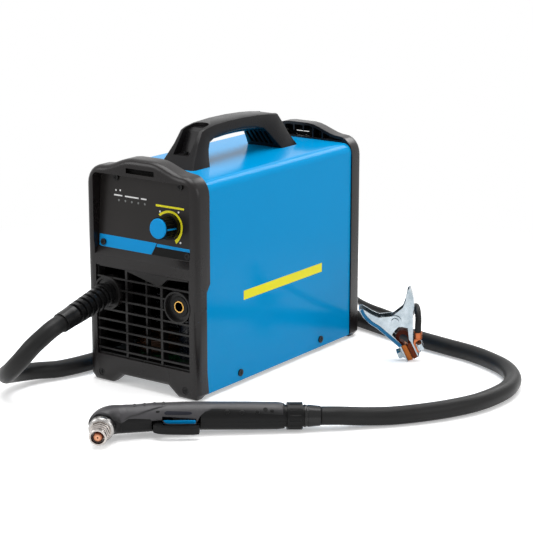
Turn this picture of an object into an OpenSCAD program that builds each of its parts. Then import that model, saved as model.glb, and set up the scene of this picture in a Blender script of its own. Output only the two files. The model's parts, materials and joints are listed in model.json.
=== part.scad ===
// Compact inverter plasma cutter with its torch, earth clamp and leads.
// Millimetres. The unit stands on z = 0 and its front faces -Y. Every module is drawn
// about the middle of the unit's front face and then moved by home() to the set's centre.

/* [Unit] */
// Width of the plastic bezels
unit_w = 135; // [125:1:150]
// Length of the unit, front bezel to rear bezel
unit_l = 281; // [265:1:320]
// Height of the shoulders of the bezels
shoulder_z = 216; // [212:1:220]
// Height of the raised middle of the bezels
hump_z = 226; // [222:1:230]
// Depth of the front bezel along the unit
bezel_d = 19.5; // [18:0.5:24]
// Rounding of the outer edge of the bezels
bezel_edge_r = 6; // [4:0.5:7]
// Thickness of the sheet steel
steel_t = 1.2; // [1:0.1:1.6]
// How far the bezels stand proud of the cover
cover_step = 1.5; // [1.2:0.1:2]

/* [Front] */
// Height of the middle of the socket and of the torch gland
port_z = 90.9; // [86:0.1:94]
// Distance of each from the middle plane
port_x = 43.5; // [42:0.1:45]
// Bore of the earth socket
socket_d = 9; // [8:0.1:10]
// Slope of the control panel
panel_tilt = 5; // [3:0.5:7]
// Number of louvre blades
louvres = 8; // [6:1:9]

/* [Carry handle] */
// Half width of the grip
grip_half = 14; // [12:0.5:16]
// Half width of its feet
foot_half = 22; // [20:0.5:24]

/* [Torch] */
// Radius of the torch handle
torch_r = 12.4; // [11.5:0.1:13]
// Height of the handle axis at the head
torch_z = 17.2; // [17:0.1:19]
// Direction in which the handle points on the floor
torch_heading = 39.5; // [30:0.5:50]
// Fall of the handle axis to its tail
torch_fall = 1.34; // [1:0.01:1.5]
// Roll of the nozzle below the horizontal
torch_roll = 8; // [5:0.5:12]
// Diameter of the torch lead
torch_lead_d = 17; // [14:0.5:18]

/* [Earth clamp] */
// Length of the clamp's handles from the bend
clamp_handle_l = 59; // [52:1:66]
// Angle of each handle from the clamp's middle line
clamp_spread = 23.5; // [20:0.5:28]
// Width of the clamp's channels
clamp_w = 13; // [11:0.5:16]
// Direction in which the clamp's flat side faces
clamp_heading = 209.9; // [200:0.1:220]
// Lean of the clamp off the upright
clamp_lean = 7; // [0:1:12]
// Diameter of the work lead
work_lead_d = 6.5; // [6:0.1:7]

/* [Hidden] */
$fn = 48;
eps = 0.02;
fit = 0.1;
// the set's centre seen from the middle of the unit's front face
set_x = -69.8;
set_y = -65.8;
half_w = unit_w / 2;
cover_half = half_w - cover_step;
cover_top = 209.5;
cover_foot = 4.3;
cover_y0 = 12.5;
cover_y1 = unit_l - 12.5;
cover_corner = 10;
tray_z = 7;
tray_half = cover_half - steel_t - fit;
tray_rim = 24;
wall_back = 12.3;
hump_flat = 12;
hump_end = 50;
hump_wall = 3;
corner_z = 197;
foot_in = 41;
arch_x = 29;
arch_z = 9.5;
window_x = 57;
window_z = [28, 118];
window_lip = 2;
boss_d = 10;
gland_boss_r = 16.5;
socket_boss_r = 15.5;
// the socket sits a little lower and nearer the middle than the gland, back in its boss
socket_x = port_x - 0.6;
socket_z = port_z - 1;
socket_y = 2.6;
flange_r = 11.4;
panel_x = 58.5;
panel_origin = [0, 6.6, 139.6];
panel_low = -4.2;
panel_high = 68;
panel_t = 2;
knob_x = 28.8;
knob_v = 25.1;
rear_panel_y = unit_l - wall_back;
foot_screw = [52, 9.5];
handle_screw_y = [71, 216];
fan_z = 68;
fan_size = 92;
clamp_at = [161.8, 235.4, 3.6];
clamp_axis = 65.3;
pivot_l = 45;
jaw_t = 5;

// ---------- helpers ----------

module home() translate([set_x, set_y, 0]) children();

// a shape drawn in plan (x, z) and run along +Y for a depth
module along_y(depth) rotate([90, 0, 0]) translate([0, 0, -depth]) linear_extrude(depth) children();

// a shape drawn as (y, z) and run along +X, centred
module along_x(width) rotate([90, 0, 90]) linear_extrude(width, center = true) children();

// a round rod along +Y
module rod_y(r, l) rotate([-90, 0, 0]) cylinder(r = r, h = l);

module rounded_rect(w, h, r) {
    square([w - 2 * r, h], center = true);
    square([w, h - 2 * r], center = true);
    for (x = [-1, 1], y = [-1, 1])
        translate([x * (w / 2 - r), y * (h / 2 - r)]) circle(r);
}

// pan head screw with its head at the origin, shank along +Y
module screw(head_r, head_h, shank_r, shank_l) {
    difference() {
        translate([0, -head_h, 0]) rod_y(head_r, head_h);
        for (turn = [0, 90])
            rotate([0, turn, 0])
                translate([-head_r * 0.6, -head_h - eps, -0.4]) cube([head_r * 1.2, head_h * 0.5, 0.8]);
    }
    rod_y(shank_r, shank_l);
}

function ease(t) = t * t * (3 - 2 * t);
function unit(v) = v / norm(v);
function lerp(a, b, t) = a + (b - a) * t;

// triangles that close a stack of rings of n points each
function skin_faces(rings, n) = concat(
    [for (k = [0:rings - 2], i = [0:n - 1]) [k * n + i, (k + 1) * n + i, (k + 1) * n + (i + 1) % n]],
    [for (k = [0:rings - 2], i = [0:n - 1]) [k * n + i, (k + 1) * n + (i + 1) % n, k * n + (i + 1) % n]]
);
module skin(rings) {
    n = len(rings[0]);
    m = len(rings);
    points = [for (ring = rings, p = ring) p];
    polyhedron(points, concat(
        skin_faces(m, n),
        [[for (i = [0:n - 1]) i]],
        [[for (i = [n - 1:-1:0]) (m - 1) * n + i]]
    ));
}

// smooth curve through hand-placed route points, steps per span
function spline_at(a, b, c, d, t) =
    0.5 * (2 * b + (c - a) * t + (2 * a - 5 * b + 4 * c - d) * t * t
        + (3 * b - a - 3 * c + d) * t * t * t);
function route_at(p, i, t) = spline_at(
    i == 0 ? 2 * p[0] - p[1] : p[i - 1], p[i], p[i + 1],
    i + 2 > len(p) - 1 ? 2 * p[len(p) - 1] - p[len(p) - 2] : p[i + 2], t);
function smooth_route(p, steps) = concat(
    [for (i = [0:len(p) - 2], k = [0:steps - 1]) route_at(p, i, k / steps)], [p[len(p) - 1]]);

// a tube of r along a path, its rings carried without twist
function tangent(p, i) = unit(p[min(i + 1, len(p) - 1)] - p[max(i - 1, 0)]);
function square_to(v, t) = unit(v - (v * t) * t);
function carried(p, i, v) = i >= len(p) ? []
    : let(n = square_to(v, tangent(p, i))) concat([n], carried(p, i + 1, n));
module tube(path, r, sides, start = [0.3, 0.2, 0.9]) {
    normals = carried(path, 0, start);
    skin([for (i = [0:len(path) - 1])
        let(n = normals[i], b = cross(tangent(path, i), n))
        [for (k = [0:sides - 1]) let(a = 360 * k / sides) path[i] + r * (n * cos(a) + b * sin(a))]]);
}
function path_length(p, i = 0) = i >= len(p) - 1 ? 0 : norm(p[i + 1] - p[i]) + path_length(p, i + 1);

// ---------- bezels ----------

// height of the bezel's top edge over the shoulders
function hump(x) = x <= hump_flat ? hump_z
    : lerp(hump_z, shoulder_z, ease((x - hump_flat) / (hump_end - hump_flat)));
bezel_half = concat(
    [for (x = [0, 12, 19, 26, 33, 40, 46]) [x, hump(x)]],
    [for (a = [90:-15:0])
        [hump_end + (half_w - hump_end) * cos(a), corner_z + (shoulder_z - corner_z) * sin(a)]],
    // foot, and the arch between the feet
    [[half_w, 6], [half_w - 5.5, 0], [foot_in, 0], [arch_x, arch_z], [0, arch_z]]
);
bezel_outline = concat(bezel_half,
    [for (i = [len(bezel_half) - 2:-1:1]) [-bezel_half[i].x, bezel_half[i].y]]);

// a point of a clockwise outline moved inwards by d on its mitre
function inward(a, b) = let(e = unit(b - a)) [e.y, -e.x];
function inset_point(p, i, d) =
    let(m = len(p), n1 = inward(p[(i + m - 1) % m], p[i]), n2 = inward(p[i], p[(i + 1) % m]))
    p[i] + (n1 + n2) * d / (1 + n1 * n2);
function bezel_ring(inset, y) = [for (i = [0:len(bezel_outline) - 1])
    let(q = inset_point(bezel_outline, i, inset)) [q.x, y, q.y]];

// the moulded block: outline with a rounded outer edge, y = 0 at the outside
module bezel_block(depth) intersection() {
    // the skin runs past both faces, which are then cut flat
    skin(concat(
        [bezel_ring(1.383 * bezel_edge_r, -0.076 * bezel_edge_r)],
        [for (a = [22.5:22.5:90]) bezel_ring(bezel_edge_r * (1 - sin(a)), bezel_edge_r * (1 - cos(a)))],
        [bezel_ring(0, depth + 2)]
    ));
    translate([-unit_w, 0, -10]) cube([2 * unit_w, depth, 2 * hump_z]);
}

module cover_outline(grow, foot) {
    w = cover_half + grow;
    top = cover_top + grow;
    r = cover_corner + grow;
    translate([-w, foot]) square([2 * w, top - r - foot]);
    translate([-w + r, top - r - eps]) square([2 * (w - r), r + eps]);
    for (s = [-1, 1]) translate([s * (w - r), top - r]) circle(r);
}

// space behind the wall for the cover, and the hollow of the hump with its ribs
module bezel_hollow(depth) {
    translate([0, wall_back, 0]) along_y(depth) cover_outline(fit, -eps);
    difference() {
        translate([0, hump_wall, 0]) along_y(depth) difference() {
            polygon([for (i = [0:len(bezel_outline) - 1]) inset_point(bezel_outline, i, hump_wall)]);
            translate([-unit_w, 0]) square([2 * unit_w, cover_top + 1.8]);
        }
        for (x = [-30:12:30]) translate([x - 0.8, 8, 200]) cube([1.6, depth, 40]);
    }
    translate([-17, -1, 212]) cube([34, depth + 4, 5]);
}

module at_gland() translate([-port_x, 0, port_z]) children();
module at_socket() translate([socket_x, 0, socket_z]) children();

// the louvres' window drawn in by an inset
module window_block(y, depth, inset) translate([inset - window_x, y, window_z[0] + inset])
    cube([2 * (window_x - inset), depth, window_z[1] - window_z[0] - 2 * inset]);

module on_panel() translate(panel_origin) rotate([-panel_tilt, 0, 0]) children();

module panel_outline(grow) {
    translate([0, (panel_low + panel_high) / 2])
        rounded_rect(2 * (panel_x + grow), panel_high - panel_low + 2 * grow, 5);
}

module front_bezel() home() color("#2b2a2b") {
    difference() {
        union() {
            difference() {
                bezel_block(bezel_d);
                bezel_hollow(bezel_d);
            }
            // carrier behind the control panel
            translate([-61, wall_back - eps, 127]) cube([122, 5, 80]);
        }
        // tilted seat of the control panel, open to the front
        on_panel() translate([0, -30, 0]) along_y(30 + panel_t) panel_outline(0.25);
        // ledge that falls from the panel's lower edge to the face
        along_x(2 * panel_x - 1) polygon([[-1, 127.6], [0, 128.3], [6, 134.6], [6, 146], [-1, 146]]);
        // window behind the panel
        translate([0, -1, 171]) along_y(30) rounded_rect(88, 44, 4);
        // window of the louvres, with a lip behind them
        window_block(-1, boss_d + 1, 0);
        window_block(-1, 30, window_lip);
        at_gland() translate([0, -1, 0]) rod_y(gland_boss_r + 2 * fit, boss_d + 1);
        at_socket() translate([0, -1, 0]) rod_y(socket_boss_r + 2 * fit, boss_d + 1);
        // the side lip steps forward over the lower half
        for (s = [-1, 1]) translate([s * (cover_half + fit + 5), 0, 0])
            along_x(10) polygon([[bezel_d + 1, 114], [bezel_d - 5.3, 105], [bezel_d - 5.3, 27],
                [bezel_d - 3.3, 8], [bezel_d - 3.3, -2], [bezel_d + 1, -2]]);
        for (s = [-1, 1]) {
            translate([s * foot_screw.x, -1, foot_screw.y]) rod_y(2.2, 20);
            translate([s * foot_screw.x, -1, foot_screw.y]) rod_y(3.8, 3);
        }
        on_panel() panel_screw_places() translate([0, -1, 0]) rod_y(1.3, 20);
    }
}

// ---------- louvred insert of the front bezel ----------

// blades spread a little wider towards the top and fall towards the inside
function louvre_z(k) = 34.4 + 9.4 * k + 0.13 * k * k;
rib_x = [-20.4, 22.8];
rib_w = 2.6;

module louvre_blade(z) translate([0, 0, z]) along_x(2 * window_x - 1)
    polygon([[1.2, -0.9], [1.2, 0.9], [9, -0.7], [9, -2.3]]);

module front_grille() home() color("#333132") difference() {
    union() {
        // frame
        difference() {
            window_block(2.5, boss_d - 2.5, 2 * fit);
            window_block(0, 20, 2 * fit + 1.6);
        }
        for (k = [0:louvres - 1]) louvre_blade(louvre_z(k));
        for (x = rib_x) translate([x - rib_w / 2, 1.6, window_z[0] + 1])
            cube([rib_w, 8, window_z[1] - window_z[0] - 2]);
        // stay behind the middle of the blades
        translate([0.6, 5, window_z[0] + 1]) cube([2, 5, window_z[1] - window_z[0] - 2]);
        // slanted header over the middle and right fields
        along_y(6) polygon([[-20, 116.6], [16, 108], [21.7, 107], [31.6, 115.3],
            [window_x - 1, 116.6], [window_x - 1, 117.8], [-20, 117.8]]);
        // bosses of the torch gland and of the earth socket
        at_gland() rod_y(gland_boss_r, boss_d);
        at_socket() translate([0, -0.6, 0]) rod_y(socket_boss_r, boss_d + 0.6);
    }
    at_gland() translate([0, -2, 0]) rod_y(10 + fit, 20);
    at_socket() translate([0, -2, 0]) rod_y(10 + fit, 20);
    // dished faces inside the rims of the bosses
    at_gland() translate([0, -1, 0]) rod_y(gland_boss_r - 2, 3);
    at_socket() translate([0, -1.6, 0]) rod_y(socket_boss_r - 1.6, socket_y + 3);
}

// ---------- controls ----------

module panel_screw_places() {
    for (s = [-1, 1]) {
        translate([s * 39, 0, 64]) children();
        translate([s * 51.5, 0, 0]) children();
    }
}

module control_panel() home() color("#2f2e2f") on_panel() difference() {
    along_y(panel_t) panel_outline(0);
    translate([knob_x, -1, knob_v]) rod_y(3.6, 5);
    panel_screw_places() translate([0, -1, 0]) rod_y(1.6, 5);
    for (k = [0:4]) translate([-35 + 8 * k, -1, 42.5]) rod_y(1.2, 5);
}

module panel_screws() home() color("#1d1d1e") on_panel()
    panel_screw_places() screw(3.1, 1.6, 1.25, 9);

module at_knob() on_panel() translate([knob_x, 0, knob_v]) children();

module knob() home() color("#1c1c1d") at_knob() difference() {
    union() {
        translate([0, -4, 0]) rod_y(12.2, 3.6);
        rotate([90, 0, 0]) translate([0, 0, 3.9]) linear_extrude(13.6) difference() {
            circle(10.6);
            for (a = [0:20:340]) rotate(a + 10) translate([11.3, 0]) circle(1.3);
        }
        // pointer
        translate([9, -4.6, -0.8]) cube([3, 1, 1.6]);
    }
    translate([0, -13, 0]) rod_y(3, 14);
}

module knob_cap() home() color("#2f86d8") at_knob() rotate([90, 0, 0]) rotate_extrude()
    polygon([[0, 17.5], [9.6, 17.5], [9.6, 18.6], [8.8, 19.3], [0, 19.5]]);

module potentiometer() home() color("#7d8085") at_knob() difference() {
    union() {
        translate([0, panel_t, 0]) rod_y(8.5, 9);
        rod_y(3.5, 3);
        translate([-5, panel_t + 5, -13]) cube([10, 1, 6]);
    }
    translate([0, -1, 0]) rod_y(3.06, 8);
}

module potentiometer_shaft() home() color("#b9bcc0") at_knob()
    translate([0, -13, 0]) rod_y(3, 19);

module control_board() home() color("#1f5a38") on_panel() {
    difference() {
        translate([-40, 12, 6]) cube([80, 1.6, 52]);
        translate([knob_x, 10, knob_v]) rod_y(6, 5);
    }
    translate([-34, 6, 30]) cube([14, 6, 10]);
    for (k = [0:4]) translate([-35 + 8 * k, 0.4, 42.5]) rod_y(1.15, 11.7);
    for (x = [-36, 12], z = [14, 50]) translate([x, panel_t, z]) rod_y(2.5, 10);
}

// ---------- ports ----------

// length of the socket's bore, and radius of the brass round it
socket_bore_l = 26.4;
insert_r = 5.7;

module socket_insulator() home() color("#161616") at_socket() difference() {
    union() {
        translate([0, socket_y + 0.4, 0]) rod_y(10, 9);
        translate([0, boss_d, 0]) rod_y(flange_r, 4);
        translate([0, boss_d, 0]) rod_y(9, 20);
    }
    translate([0, -1, 0]) rod_y(insert_r + 0.05, 40);
}

module socket_insert() home() color("#c8963c") at_socket() difference() {
    union() {
        translate([0, socket_y, 0]) rod_y(insert_r, 30);
        translate([0, 30.1, 0]) rotate([-90, 30, 0]) cylinder(r = 8.5, h = 5, $fn = 6);
        translate([0, 33, 0]) rod_y(4, 12);
    }
    translate([0, socket_y - 1, 0]) rod_y(socket_d / 2, socket_bore_l + 1);
}

boot_fall = 12.4;
boot_l = 68.4;
boot_r = 11.8;
boot_ribs = 7;
rib_pitch = 7.1;

// moulded strain relief: smooth root, ribs of falling radius, then the plain collar
module torch_strain_relief() home() color("#1b1b1c") at_gland() {
    translate([0, -5, 0]) rod_y(10, boss_d + 7.5);
    translate([0, boss_d + fit, 0]) rod_y(flange_r, 2.5);
    rotate([90 + boot_fall, 0, 0]) rotate_extrude() polygon(concat(
        [[0, 2.8], [boot_r - 0.4, 2.8], [boot_r, 3.4]],
        [for (k = [0:boot_ribs - 1]) for (p = [[0, 7.6], [-2.6, 8.4], [-2.6, 10.2], [-0.2, 10.9]])
            [boot_r - 0.22 * k + p.x, rib_pitch * (k - (k > 0 ? 0.35 : 0)) + p.y]],
        [[9.9, 55.6], [9.7, boot_l], [0, boot_l]]
    ));
}

// ---------- sheet metal ----------

cover_screw_y = [68.5, 208];
cover_screw_z = 12.5;

module cover_screw_holes(r) for (y = cover_screw_y)
    translate([-unit_w / 2, y, cover_screw_z]) rotate([0, 90, 0]) cylinder(r = r, h = unit_w);

module cover() home() color("#0a93d6") difference() {
    translate([0, cover_y0, 0]) along_y(cover_y1 - cover_y0) difference() {
        cover_outline(0, cover_foot);
        cover_outline(-steel_t, cover_foot - 1);
    }
    cover_screw_holes(2.1);
    for (y = handle_screw_y) translate([0, y, 200]) cylinder(r = 2.2, h = 20);
}

module board_places() for (x = [-48, 48], y = [42, 224]) translate([x, y, 0]) children();

module base_tray() home() color("#8d9296") difference() {
    union() {
        translate([0, cover_y0 + 1, 0]) along_y(cover_y1 - cover_y0 - 2) {
            translate([-tray_half, tray_z]) square([2 * tray_half, steel_t]);
            // upturned rims that take the cover's screws
            for (x = [-tray_half, tray_half - steel_t])
                translate([x, tray_z]) square([steel_t, tray_rim - tray_z]);
        }
        // tabs behind the foot screws and posts under the board
        for (s = [-1, 1], y = [wall_back + fit, unit_l - wall_back - fit - steel_t])
            translate([s * foot_screw.x - 6, y, tray_z]) cube([12, steel_t, 6.4]);
        board_places() translate([0, 0, tray_z]) cylinder(r = 3.5, h = board_z - tray_z);
    }
    for (s = [-1, 1]) translate([s * foot_screw.x, 0, foot_screw.y]) rod_y(2.15, unit_l);
    board_places() translate([0, 0, tray_z - 1]) cylinder(r = 1.5, h = 20);
    cover_screw_holes(1.6);
    for (x = [-30:12:30], y = [60, 190]) translate([x - 1.5, y, 0]) cube([3, 40, 20]);
}

module cover_screws() home() color("#1a1a1b")
    for (s = [-1, 1], y = cover_screw_y)
        translate([s * cover_half, y, cover_screw_z]) rotate([0, 0, s * 90]) screw(3.6, 1.3, 1.6, 8);

module foot_screw_piece() screw(3.6, 1.6, 2.1, 12);

module bezel_screws() home() color("#19191a") {
    for (s = [-1, 1]) {
        translate([s * foot_screw.x, 2, foot_screw.y]) foot_screw_piece();
        translate([s * foot_screw.x, unit_l - 2, foot_screw.y]) rotate([0, 0, 180]) foot_screw_piece();
    }
}

// ---------- carry handle ----------

// stations along the arch: outer edge (y, z) and inner edge (y, z)
handle_stations = [
    [[54, cover_top], [81, cover_top]], [[61.5, 219.5], [83, 216.5]], [[70, 231], [85.5, 224.5]],
    [[79, 243.3], [89.5, 231.2]], [[85, 245.4], [97, 234]], [[98, 247.6], [108, 235.8]],
    [[122, 248.8], [124, 237]], [[148, 248.7], [147, 236.8]], [[172, 247.6], [166, 235]],
    [[190, 246], [179, 232.2]], [[206.5, 243.9], [186, 226.5]], [[213, 236.5], [192.5, 219]],
    [[221, 222.5], [197, 214.2]], [[230, cover_top], [201, cover_top]]
];
// the legs widen below the grip
flare_z = 240;
function handle_half(z) = grip_half
    + (foot_half - grip_half) * pow(max(0, (flare_z - z) / (flare_z - cover_top)), 1.4);
// section between the two edges, corners rounded more on the outer side
function handle_ring(s) =
    let(o = [0, s[0].x, s[0].y], i = [0, s[1].x, s[1].y], d = unit(o - i),
        wo = handle_half(s[0].y), wi = handle_half(s[1].y), x = [1, 0, 0])
    [
        i - x * (wi - 1.8), i + x * (wi - 1.8), i + x * (wi - 0.5) + d * 0.5, i + x * wi + d * 1.8,
        o + x * wo - d * 3.4, o + x * (wo - 1) - d, o + x * (wo - 3.4),
        o - x * (wo - 3.4), o - x * (wo - 1) - d, o - x * wo - d * 3.4,
        i - x * wi + d * 1.8, i - x * (wi - 0.5) + d * 0.5
    ];

pocket_half = grip_half - 4.5;

module carry_handle() home() color("#2c2b2c") difference() {
    skin([for (k = [len(handle_stations) - 1:-1:0]) handle_ring(handle_stations[k])]);
    // open pockets at both ends, between the cheeks
    along_x(2 * pocket_half) polygon(
        [[40, 221], [75, 221], [79, 229], [86, 241.4], [92, 244], [92, 262], [40, 262]]);
    translate([0, 92, 243.8]) cylinder(r = pocket_half, h = 20);
    along_x(2 * pocket_half) polygon(
        [[240, 222], [212.6, 222], [205, 234], [201.5, 242.6], [201.5, 262], [240, 262]]);
    for (y = handle_screw_y) translate([0, y, 200]) cylinder(r = 1.6, h = 30);
    // grooves that leave ribs on the rear leg's inner face
    for (x = [-12:6:12]) translate([x - 1.7, 195, 212]) rotate([35.7, 0, 0]) cube([3.4, 6, 20]);
}

module handle_screws() home() color("#2a2b2d")
    for (y = handle_screw_y) translate([0, y, 222]) rotate([-90, 0, 0]) screw(2.6, 1.6, 1.5, 20);

// ---------- rear ----------

module rear_screw_places() for (s = [-1, 1], z = [20, 198]) translate([s * 58.5, 0, z]) children();
// the four holes of a 92 mm fan, 82.5 mm apart
module fan_screw_places() for (s = [-1, 1], t = [-1, 1]) translate([s * 41.25, 0, t * 41.25]) children();

module at_rear() translate([0, unit_l, 0]) mirror([0, 1, 0]) children();

module rear_bezel() home() color("#2b2a2b") at_rear() difference() {
    bezel_block(bezel_d - 1);
    bezel_hollow(bezel_d);
    translate([0, -1, 108]) along_y(30) rounded_rect(112, 184, 8);
    for (s = [-1, 1]) {
        translate([s * foot_screw.x, -1, foot_screw.y]) rod_y(2.2, 20);
        translate([s * foot_screw.x, -1, foot_screw.y]) rod_y(3.8, 3);
    }
    rear_screw_places() translate([0, 5, 0]) rod_y(1.3, 20);
}

module rear_panel() home() color("#262627") translate([0, rear_panel_y - steel_t, 0]) difference() {
    along_y(steel_t) translate([0, 109]) rounded_rect(124, 190, 6);
    // vent slots in front of the fan
    translate([0, -1, fan_z]) along_y(5) intersection() {
        circle(42);
        for (z = [-39:6.5:39]) for (s = [-1, 1]) translate([s * 23 - 21, z - 1.7]) square([42, 3.4]);
    }
    translate([-28, -1, 172]) along_y(5) square([22.2, 28.2], center = true);
    translate([30, -1, 178]) rod_y(8, 5);
    translate([30, -1, 148]) rod_y(6, 5);
    rear_screw_places() translate([0, -1, 0]) rod_y(1.7, 5);
    fan_screw_places() translate([0, -1, fan_z]) rod_y(2.1, 5);
}

module rear_panel_screws() home() color("#3a3b3d") {
    rear_screw_places() translate([0, rear_panel_y - steel_t, 0]) screw(2.8, 1.4, 1.25, 8);
    fan_screw_places() translate([0, rear_panel_y, fan_z]) rotate([0, 0, 180]) screw(3.4, 1.8, 2, 28);
}

module at_fan() translate([0, rear_panel_y - steel_t - 25.4, fan_z]) children();

module fan_frame() home() color("#1d1e20") at_fan() difference() {
    union() {
        difference() {
            along_y(25.4) rounded_rect(fan_size, fan_size, 5);
            translate([0, -1, 0]) rod_y(fan_size / 2 - 1.5, 30);
        }
        rod_y(17, 3);
        for (a = [0, 120, 240]) rotate([0, a, 0]) translate([15, 0, -2]) cube([31, 3, 4]);
    }
    fan_screw_places() translate([0, -1, 0]) rod_y(2.15, 30);
    translate([0, -1, 0]) rod_y(2.06, 10);
}

module fan_rotor() home() color("#17181a") at_fan() {
    difference() {
        translate([0, 3.8, 0]) rod_y(18, 19);
        translate([0, 3.7, 0]) rod_y(16.5, 1);
    }
    translate([0, 0.6, 0]) rod_y(2, 5);
    intersection() {
        difference() {
            translate([0, 4.4, 0]) rod_y(42.5, 18);
            translate([0, 4, 0]) rod_y(17, 19);
        }
        for (a = [0:360 / 7:359]) rotate([0, a, 0])
            translate([16, 13.4, 0]) rotate([38, 0, 0]) translate([0, -13, -0.8]) cube([30, 26, 1.6]);
    }
}

module at_switch() translate([-28, rear_panel_y, 172]) children();
module at_inlet() translate([30, rear_panel_y, 148]) children();
module at_mains() translate([30, rear_panel_y, 178]) children();

module power_switch() home() color("#19191a") at_switch() difference() {
    union() {
        along_y(1.8) rounded_rect(26, 32, 2);
        translate([0, -17, 0]) along_y(17.1) square([21.8, 27.8], center = true);
        for (x = [-6, 6], z = [-8, 0, 8]) translate([x - 0.4, -25, z - 3]) cube([0.8, 8.1, 6]);
    }
    translate([0, -9, 0]) along_y(20) square([18.6, 24.6], center = true);
    translate([0, -3, 0]) rotate([0, 90, 0]) cylinder(r = 1.26, h = 22, center = true);
}

module power_rocker() home() color("#8f1d1d") at_switch() {
    // two flat wings that meet over the pivot
    along_x(18) polygon([[-3, -10.6], [3.4, -10.8], [1.1, 0], [1.1, 10.8], [-3, 10.6], [-7, 4], [-7, -4]]);
    translate([0, -3, 0]) rotate([0, 90, 0]) cylinder(r = 1.2, h = 21, center = true);
}

module mains_gland() home() color("#1a1a1b") at_mains() difference() {
    union() {
        translate([0, -9, 0]) rod_y(7.8, 12);
        rotate([-90, 0, 0]) cylinder(r = 12.7, h = 5, $fn = 6);
        translate([0, -steel_t - 5, 0]) rotate([-90, 0, 0]) cylinder(r = 12.7, h = 5, $fn = 6);
        // dome nut that grips the cable
        translate([0, 5, 0]) rotate([-90, 0, 0]) rotate_extrude() polygon(
            [[0, 0], [10.4, 0], [10.4, 9], [8.6, 13], [7, 14.5], [0, 14.5]]);
    }
    translate([0, -10, 0]) rod_y(4.5, 40);
}

module air_inlet() home() color("#c49a48") at_inlet() difference() {
    union() {
        translate([0, -12, 0]) rod_y(5.9, 15);
        rotate([-90, 0, 0]) cylinder(r = 9.2, h = 5, $fn = 6);
        // hose tail with barbs
        translate([0, 5, 0]) rotate([-90, 0, 0]) rotate_extrude() polygon([
            [0, 0], [4, 0], [4, 2], [5, 2.6], [4.2, 6], [5, 6.6], [4.2, 10], [5, 10.6],
            [3.9, 14.6], [0, 14.6]]);
    }
    translate([0, -14, 0]) rod_y(2.6, 40);
}

module air_valve() home() color("#9a9da1") at_inlet() translate([0, -steel_t, 0]) difference() {
    union() {
        translate([-12, -34, -10]) cube([24, 34, 20]);
        translate([0, -23, 10]) cylinder(r = 9, h = 16);
        translate([0, -40, 0]) rod_y(4, 7);
    }
    translate([0, -11, 0]) rod_y(5.95, 12);
    translate([0, -41, 0]) rod_y(2, 32);
}

// ---------- inverter ----------

board_z = 20;

module main_board() home() color("#23613c") difference() {
    translate([-54, 34, board_z]) cube([108, 198, 1.6]);
    board_places() translate([0, 0, board_z - 1]) cylinder(r = 1.6, h = 4);
}

module heatsinks() home() color("#b4b8bc")
    for (s = [-1, 1]) translate([s * 34, 84, board_z + 1.6]) {
        translate([-s * 16 - 1.5, 0, 0]) cube([3, 96, 58]);
        for (k = [0:7]) translate([-16, 0, 3 + 7.4 * k]) cube([32, 96, 1.6]);
    }

module main_transformer() home() color("#4a3b2e") translate([0, 205, board_z + 1.6]) {
    difference() {
        translate([-24, -19, 0]) cube([48, 38, 44]);
        translate([-16, -20, 10]) cube([32, 40, 24]);
    }
    translate([-15.9, -24, 10.1]) cube([31.8, 48, 23.8]);
}

module output_choke() home() color("#8a5a34") translate([-26, 60, board_z + 1.6])
    rotate_extrude() translate([15, 9]) circle(9);

module capacitors() home() color("#20242b")
    for (x = [14, 40]) translate([x, 58, board_z + 1.6]) cylinder(r = 12, h = 46);

// ---------- torch ----------
// local frame: X along the handle from the head, -Y out of the nozzle

module at_torch() translate([49.1, -118.7, torch_z])
    rotate([0, 0, torch_heading]) rotate([0, torch_fall, 0]) rotate([torch_roll, 0, 0]) children();

// place along the handle, offset to the nozzle side, radius over torch_r
shell_stations = [
    [18, 8.6, -0.5], [26, 7.2, -0.3], [36, 5.2, -0.1], [48, 3, 0], [60, 1.4, 0.1],
    [75, 0.3, 0.2], [90, 0, 0.2], [130, 0, 0.1], [158, 0, -0.2], [164.8, 0, -1]
];
shell_split = 0.05;
trigger_s = [45.6, 88.2];
trigger_pivot = [50, -12];

module torch_shell(side) {
    difference() {
        skin([for (q = shell_stations)
            [for (a = [345:-15:0]) [q.x, -q.y - (torch_r + q.z) * cos(a), (torch_r + q.z) * sin(a)]]]);
        translate([-10, -60, side > 0 ? shell_split - 60 : -shell_split]) cube([200, 120, 60]);
        translate([26, 0, 0]) rotate([0, 90, 0]) cylinder(r = 7.6, h = 200);
        translate([17, elbow_at.y + elbow_r, 0]) rotate([0, 90, 0]) cylinder(r = 8, h = 10);
        // slot of the trigger and hole of its pin
        translate([trigger_s[0] - 0.6, -30, -7.2]) cube([trigger_s[1] - trigger_s[0] + 1.2, 24, 14.4]);
        translate([trigger_pivot.x, trigger_pivot.y, -9]) cylinder(r = 1.5, h = 18);
    }
}

module torch_shell_upper() home() color("#4a4a4c") at_torch() torch_shell(1);
module torch_shell_lower() home() color("#2a2a2c") at_torch() torch_shell(-1);

elbow_r = 17.2;
elbow_at = [17.8, -26];
elbow_turn = 80;
neck_r = 11.8;

// middle of the neck's section after a turn of the elbow
function elbow_point(turn, out) =
    elbow_at + (elbow_r + out) * [cos(90 + turn), sin(90 + turn)];

module torch_head() home() color("#262628") at_torch() difference() {
    union() {
        skin([for (turn = [0:elbow_turn / 6:elbow_turn]) [for (b = [345:-15:0])
            let(q = elbow_point(turn, neck_r * cos(b))) [q.x, q.y, neck_r * sin(b)]]]);
        translate([elbow_at.x - 0.1, elbow_at.y + elbow_r, 0]) rotate([0, 90, 0]) cylinder(r = 7.9, h = 8);
    }
    at_nozzle() translate([0, 0, -7]) cylinder(r = 8.5, h = 8);
}

// local frame of the nozzle: +Z out of the head
module at_nozzle() translate([elbow_point(elbow_turn, 0).x, elbow_point(elbow_turn, 0).y, 0])
    rotate([90, 0, elbow_turn - 90]) children();

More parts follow.
